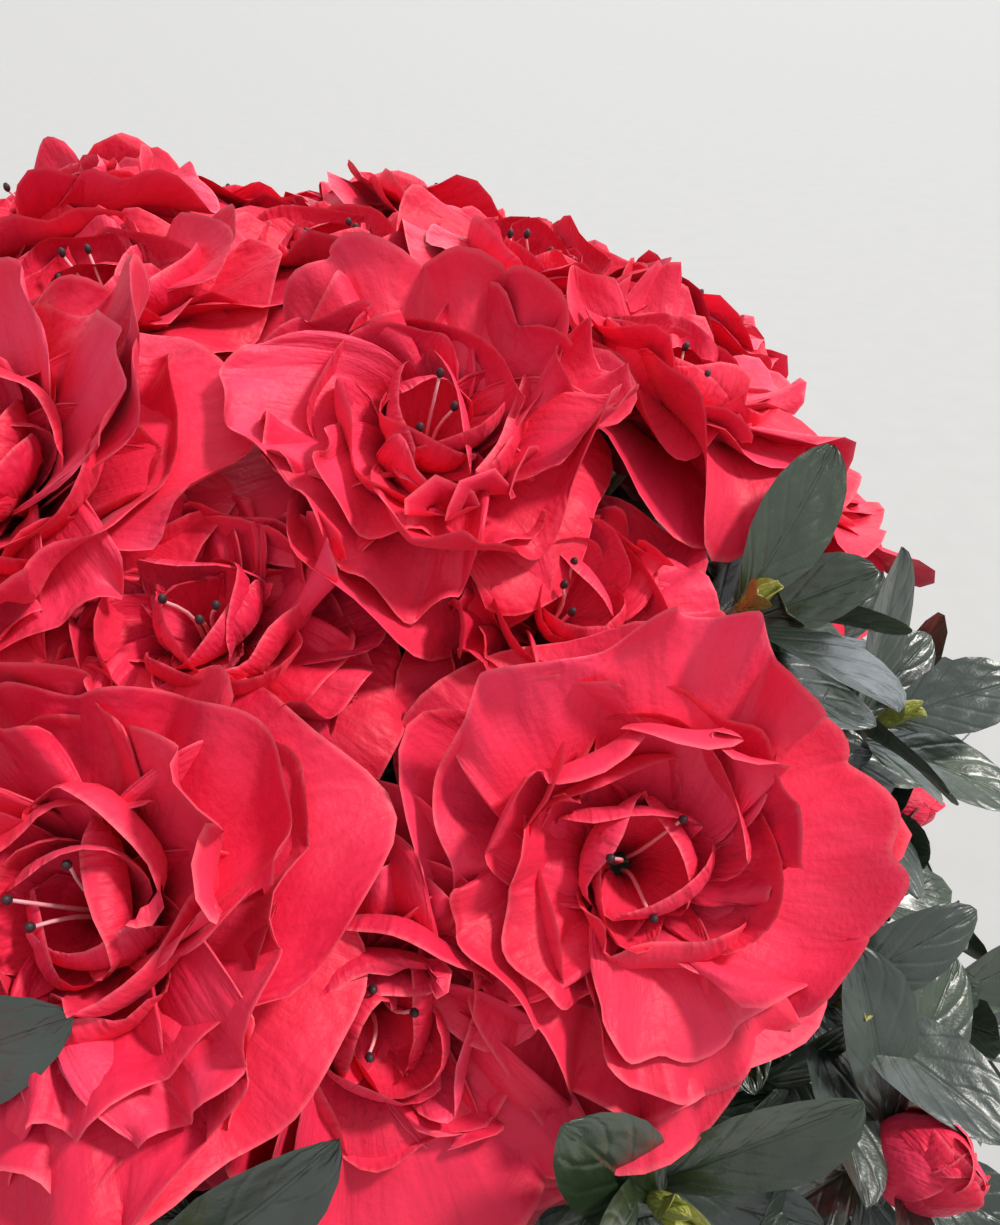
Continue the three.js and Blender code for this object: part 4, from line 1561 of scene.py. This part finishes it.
        def noted(key: str) -> Array:
            """One thing that was noted for each leaf."""
            return np.array([getattr(leaf, key) for leaf in leaves])[:, None, None]

        def dealt(salt: int, low: float, high: float) -> Array:
            """One seeded number for each leaf."""
            values = [low + (high - low) * chance(leaf.seed + salt * 3.1) for leaf in leaves]
            return np.array(values)[:, None, None]

        rows, columns = self.fine_grid if name == "front_leaves" else self.plain_grid
        out = (np.sin(np.linspace(-0.45, 1, rows) * math.pi / 2) + 0.6494) / 1.6494
        out = np.clip(out, 0, 1)[None, :, None]
        beside = np.linspace(-1, 1, columns)[None, None, :]
        widest = dealt(1, 0.52, 0.66)
        beyond = np.clip((out - widest) / (1 - widest), 0, 1)
        half = np.where(out > widest, (1 - beyond**2.2) ** 0.62, np.sin(out / widest * math.pi / 2) ** 1.2)
        petiole = 0.1 * (1 - smoothstep(out, 0.0, 0.3))
        half = np.maximum(half, petiole) + 0.012
        scale, young = noted("size"), noted("young")
        length = self.leaf_length * scale
        width = self.leaf_width * scale * dealt(2, 0.85, 1.15) / 2
        sideways = beside * half * width
        fold = np.where(young, 0.9, dealt(3, 0.05, 0.4))
        arch = dealt(4, -0.02, 0.28)
        rise = fold * np.abs(sideways) ** 0.8 * 1.3 - arch * length * out**2.2 * 0.8
        rise = rise + dealt(5, -0.25, 0.25) * sideways * out
        rise = rise + 0.5 * np.sin(9 * out + dealt(6, 0, 6)) * np.abs(beside) * scale
        run = length * (out - 0.12 * arch * out**2)
        along, normal = noted("along"), noted("normal")
        across = np.cross(normal, along) * sideways[..., None]
        points = noted("root") + along * run[..., None] + across + normal * rise[..., None]
        places = np.stack(np.broadcast_arrays(out[0], beside[0]), axis=-1)
        fresh, back = LEAVES.index(YOUNG_LEAF), LEAVES.index(LEAF_UNDERSIDE)
        tints = [int(chance(leaf.seed + 0.77) * len(GROWN_LEAVES)) for leaf in leaves]
        over, under = (np.where(young.ravel(), fresh, grown) for grown in (tints, back))
        patch = self.patches.setdefault(name, Patchwork())
        patch.add_shells(points, places, self.leaf_thickness, over, under)


def tell(piece: bpy.types.Object, slot: Slot, nodes: list[str]) -> None:
    """Puts a piece into the frame and reports it.

    Args:
        piece: The finished object.
        slot: The record's slot. Not used.
        nodes: The solids that it stands for.
    """
    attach(piece, BODY)
    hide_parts(*nodes)
    triangles = sum(len(face.vertices) - 2 for face in piece.data.polygons)
    LOG.info("%s: %d triangles", piece.name, triangles)


def select_only(pieces: list[bpy.types.Object]) -> None:
    """Selects pieces and nothing else, and makes the first the active one.

    Args:
        pieces: What the next operator works on.
    """
    bpy.ops.object.select_all(action="DESELECT")
    for piece in pieces:
        piece.select_set(True)
    bpy.context.view_layer.objects.active = pieces[0]


def move_corners(piece: bpy.types.Object, moved: Callable[[Array], Array]) -> None:
    """Moves a piece's corners.

    Args:
        piece: The piece.
        moved: Makes the new places from the old ones, in metres.
    """
    places = np.zeros(len(piece.data.vertices) * 3)
    piece.data.vertices.foreach_get("co", places)
    piece.data.vertices.foreach_set("co", moved(places.reshape(-1, 3)).ravel())
    piece.data.update()


def above_ground(places: Array) -> Array:
    """The places, with none of them below the ground."""
    return np.maximum(places, (-np.inf, -np.inf, 0))


@dataclass
class Limbs:
    """The trunk and boughs, as one skin of bark with its relief."""

    crown: Crown
    foot_radius: float = 13
    top_radius: float = 10
    flare_width: float = 11
    flare_height: float = 13
    flare_ribs: int = 5
    rib_share: float = 0.28
    tip_radius: float = 2.9
    trunk_cuts: tuple[int, int] = (48, 36)
    bough_cuts: tuple[int, int] = (20, 28)

    def trunk_radius(self, share: Array, angle: Array) -> Array:
        """The trunk's radius, with its root flare.

        Args:
            share: How far up the trunk.
            angle: How far round it, in radians.

        Returns:
            The radius, in millimetres.
        """
        height = share * self.crown.trunk_height
        ribs = 1 - self.rib_share * (1 - np.cos(self.flare_ribs * angle))
        flare = self.flare_width * np.exp(-height / self.flare_height) * ribs
        return self.foot_radius + (self.top_radius - self.foot_radius) * share + flare

    def bough_radius(self, base: float, share: Array, angle: Array) -> Array:
        """A bough's radius, which thins evenly from its base and swells a little here and there."""
        knots = 1 + 0.05 * np.sin(share * 37 + base * 9) + 0.04 * np.sin(2 * angle + share * 11)
        return (base + (self.tip_radius - base) * share) * knots

    def stick(self, name: str, sides: int, steps: int) -> bpy.types.Object:
        """Models an upright stick of unit size, cut into rings.

        Args:
            name: The object's name.
            sides: Faces round it.
            steps: Rings along it.

        Returns:
            The stick, from height 0 to 1 and of radius 1.
        """
        bpy.ops.object.select_all(action="DESELECT")
        bpy.ops.mesh.primitive_circle_add(vertices=sides, radius=1, fill_type="NGON")
        piece = bpy.context.active_object
        piece.name = piece.data.name = name
        bpy.ops.object.mode_set(mode="EDIT")
        bpy.ops.mesh.select_all(action="SELECT")
        for _ in range(steps):
            bpy.ops.mesh.extrude_region_move(TRANSFORM_OT_translate={"value": (0, 0, 1 / steps)})
        bpy.ops.mesh.select_all(action="SELECT")
        bpy.ops.mesh.normals_make_consistent(inside=False)
        bpy.ops.object.mode_set(mode="OBJECT")
        return piece

    def bend(self, piece: bpy.types.Object, curve: Sweep, steps: int, radius: Callable[..., Array]) -> None:
        """Lays a stick along a curve.

        Args:
            piece: The upright stick.
            curve: Its new middle line.
            steps: Its rings.
            radius: Its radius, from a share of its length and an angle round it.
        """
        normals, others = curve.frames(steps)

        def laid(points: Array) -> Array:
            """Moves points from the upright stick to the curve.

            Args:
                points: The stick's corners.

            Returns:
                Their new places, in metres.
            """
            ring = np.round(points[:, 2] * steps).astype(int)
            angle = np.arctan2(points[:, 1], points[:, 0])
            spread = np.hypot(points[:, 0], points[:, 1]) * radius(ring / steps, angle)
            outward = swing(normals[ring], others[ring], angle[:, None])
            return above_ground(curve.at(ring / steps) + spread[:, None] * outward) * MM

        move_corners(piece, laid)

    def relief(self, piece: bpy.types.Object, depth: float, grain: float) -> None:
        """Raises the bark's furrows and ridges, with displacement that is applied.

        Args:
            piece: The bark.
            depth: Of the relief, in metres.
            grain: Size of its pattern, in metres.
        """
        texture = bpy.data.textures.new(f"{piece.name}_furrows", "CLOUDS")
        texture.noise_scale = grain
        texture.noise_depth = 3
        select_only([piece])
        raised = piece.modifiers.new("furrows", "DISPLACE")
        raised.texture = texture
        raised.texture_coords = "LOCAL"
        raised.strength = depth
        raised.mid_level = 0.5
        bpy.ops.object.modifier_apply(modifier=raised.name)
        move_corners(piece, above_ground)

    def build(self, finish: bpy.types.Material) -> list[bpy.types.Object]:
        """Models the trunk and all boughs.

        Args:
            finish: The bark.

        Returns:
            The trunk's skin and the boughs' skin.
        """
        trunk = self.stick("trunk_bark", *self.trunk_cuts)
        stem = leader = self.crown.trunk()
        self.bend(trunk, stem, self.trunk_cuts[1], self.trunk_radius)
        self.relief(trunk, 0.0022, 0.006)
        pattern = self.stick("boughs_bark", *self.bough_cuts)
        made = []
        for mass in self.crown.masses:
            curve = self.crown.bough(mass, leader if mass.ring.from_leader else stem)
            if mass.ring.name == "top":
                leader = curve
            piece = pattern.copy()
            piece.data = pattern.data.copy()
            bpy.context.scene.collection.objects.link(piece)
            self.bend(piece, curve, self.bough_cuts[1], partial(self.bough_radius, mass.ring.radius))
            made.append(piece)
        bpy.data.objects.remove(pattern)
        select_only(made)
        bpy.ops.object.join()
        boughs = made[0]
        boughs.name = boughs.data.name = "boughs_bark"
        self.relief(boughs, 0.0012, 0.004)
        for piece in (trunk, boughs):
            piece.data.materials.clear()
            piece.data.materials.append(finish)
            piece.data.shade_smooth()
        return [trunk, boughs]


@dataclass
class Buds:
    """The fat flower buds that show colour, each a few crumpled petals wrapped round each other."""

    crown: Crown
    length: float = 29
    width: float = 19
    thickness: float = 0.4
    layers: int = 4
    wrap: int = 3
    scales: int = 5
    shown: int = 15
    shown_grid: tuple[int, int] = (11, 29)
    plain_grid: tuple[int, int] = (7, 13)
    scale_grid: tuple[int, int] = (6, 9)
    patch: Patchwork = field(default_factory=Patchwork)

    def grow(self) -> None:
        """Makes the petals and scales of every bud."""
        for site in self.crown.sites:
            if site.kind is Kind.BUD:
                for layer in range(self.layers):
                    self._grow_layer(site, layer)
                self._grow_scales(site)

    def _grow_layer(self, site: Site, layer: int) -> None:
        """Makes one layer of petals, wrapped round those inside it.

        Args:
            site: The bud's place.
            layer: 0 for the outermost.
        """
        rng = np.random.default_rng([site.seed, layer, 55])
        dealt = partial(rng.uniform, size=self.wrap)
        batch = PetalBatch(
            seeds=site.seed * 1000 + layer * 100 + np.arange(self.wrap),
            turn=layer * 47 + np.arange(self.wrap) * 360 / self.wrap + dealt(-14, 14),
            length=(self.length - 0.6 * layer) * site.size * dealt(0.95, 1.04),
            width=(self.width - 2.4 * layer) * 1.3 * dealt(0.9, 1.1),
            foot_radius=2.2 - 0.4 * layer,
            foot_height=-8.0 + layer * 0.8,
            start=42 + dealt(-4, 4) + 10 * layer,
            rise=98 + dealt(-4, 4) - 2 * layer,
            tip=46 + dealt(-10, 8),
            cup=(0.1 + 0.024 * layer) * dealt(0.85, 1.15),
            roll=0.12 + dealt(-0.05, 0.05),
            twist=dealt(-0.08, 0.08),
            ruffle=0.9,
            curl=16,
            curl_in=0.3,
            widest=0.5,
        )
        grid = self.shown_grid if site.seed == self.shown else self.plain_grid
        self._add(site, batch, grid, rng.integers(0, len(PETALS), self.wrap))

    def _grow_scales(self, site: Site) -> None:
        """Makes the ring of small brown-green scales at a bud's foot.

        Args:
            site: The bud's place.
        """
        batch = PetalBatch(
            seeds=site.seed * 1000 + 900 + np.arange(self.scales),
            turn=np.arange(self.scales) * 360 / self.scales + site.seed,
            length=12,
            width=9,
            foot_radius=1.6,
            foot_height=-9.5,
            start=14,
            rise=78,
            tip=-12,
            cup=0.1,
            roll=0.1,
            twist=0,
            ruffle=0.3,
            curl=10,
            curl_in=0,
            widest=0.45,
        )
        self._add(site, batch, self.scale_grid, np.full(self.scales, len(PETALS)))

    def _add(self, site: Site, batch: PetalBatch, grid: tuple[int, int], tint: Array) -> None:
        """Adds petals to a bud, each with the finish of its number."""
        points, places = batch.grids(*grid)
        self.patch.add_shells(site.placed(points), places, self.thickness, tint, tint)


@dataclass(frozen=True)
class Lamp:
    """A large soft light, far off in the direction `at`. Its `spread` is how large it looks, in degrees."""

    name: str
    at: tuple[float, float, float]
    power: float
    spread: float
    colour: Colour

    def hang(self) -> None:
        """Adds the light."""
        lamp = bpy.data.lights.new(self.name, "SUN")
        lamp.angle = math.radians(self.spread)
        lamp.energy = self.power
        lamp.color = self.colour
        seat = bpy.data.objects.new(self.name, lamp)
        seat.location = self.at
        x, y, z = self.at
        seat.rotation_euler = (math.atan2(math.hypot(x, y), z), 0, math.atan2(y, x) + math.pi / 2)
        bpy.context.scene.collection.objects.link(seat)


@dataclass
class Studio:
    """The camera at the photograph's angle, a pale floor and soft lights. Lengths are in metres."""

    camera_at: tuple[float, float, float] = (0.071, -0.309, 0.454)
    camera_tilt: float = 60
    view_angle: float = 52
    sensor: float = 36
    floor_radius: float = 14
    floor_colours: tuple[Colour, Colour] = ((0.46, 0.455, 0.44), (0.5, 0.495, 0.48))
    air: Colour = (0.93, 0.95, 1.0)
    air_strength: float = 0.7
    lamps: tuple[Lamp, ...] = (
        Lamp("key", (0.85, 0.0, 1.0), 2.85, 9, (1.0, 0.96, 0.9)),
        Lamp("sky", (0.25, 1.0, 0.62), 1.15, 50, (0.86, 0.92, 1.0)),
    )

    def build(self) -> None:
        """Sets the camera, floor, lights and colour."""
        camera = bpy.data.cameras.new("camera")
        camera.lens = self.sensor / 2 / math.tan(math.radians(self.view_angle / 2))
        camera.sensor_width = self.sensor
        camera.clip_start = 0.01
        seat = bpy.data.objects.new("camera", camera)
        seat.location = self.camera_at
        seat.rotation_euler = (math.radians(self.camera_tilt), 0, 0)
        bpy.context.scene.collection.objects.link(seat)
        bpy.context.scene.camera = seat
        bpy.ops.object.select_all(action="DESELECT")
        bpy.ops.mesh.primitive_circle_add(vertices=96, radius=self.floor_radius, fill_type="NGON")
        floor = bpy.context.active_object
        floor.name = "floor"
        sheet = NodeSheet("pale_floor")
        colour = sheet.mix(sheet.noise(30, 4), *self.floor_colours)
        floor.data.materials.append(sheet.dress(Base_Color=colour, Roughness=0.8))
        world = bpy.data.worlds.new("studio")
        world.use_nodes = True
        air = world.node_tree.nodes["Background"]
        air.inputs[0].default_value = (*self.air, 1)
        air.inputs[1].default_value = self.air_strength
        bpy.context.scene.world = world
        for lamp in self.lamps:
            lamp.hang()
        bpy.context.scene.view_settings.view_transform = "Standard"


def main() -> None:
    """Builds the whole shrub and its studio."""
    logging.basicConfig(level=logging.INFO, format="%(message)s")
    Studio().build()
    crown = Crown()
    crown.grow()
    upper = [f"{mass.name}_mass" for mass in crown.masses if mass.ring.name in ("top", "upper")]
    lower = [f"{mass.name}_mass" for mass in crown.masses if mass.ring.name in ("middle", "low")]
    trunk, boughs = Limbs(crown).build(BARK.make())
    tell(trunk, Slot.BARK, ["trunk"])
    tell(boughs, Slot.BARK, [f"{mass.name}_bough" for mass in crown.masses])
    petals = [finish.make() for finish in PETALS]
    blooms = Blooms(crown)
    blooms.grow()
    stamens = blooms.patches.pop("stamens")
    for name, patch in blooms.patches.items():
        tell(patch.build(name, petals), Slot.PETALS, upper)
    tell(stamens.build("stamens", [FILAMENT.make(), ANTHER.make()]), Slot.PETALS, upper)
    buds = Buds(crown)
    buds.grow()
    tell(buds.patch.build("flower_buds", [*petals, BUD_SCALE.make()]), Slot.PETALS, upper)
    leaves = [finish.make() for finish in LEAVES]
    foliage = Foliage(crown, blooms.drape)
    foliage.grow()
    for name in ("front_leaves", "right_leaves", "left_leaves"):
        tell(foliage.patches[name].build(name, leaves), Slot.LEAVES, lower)
    tell(foliage.wood.build("twigs", [TWIG_BARK.make()]), Slot.BARK, lower)


if __name__ == "__main__":
    main()
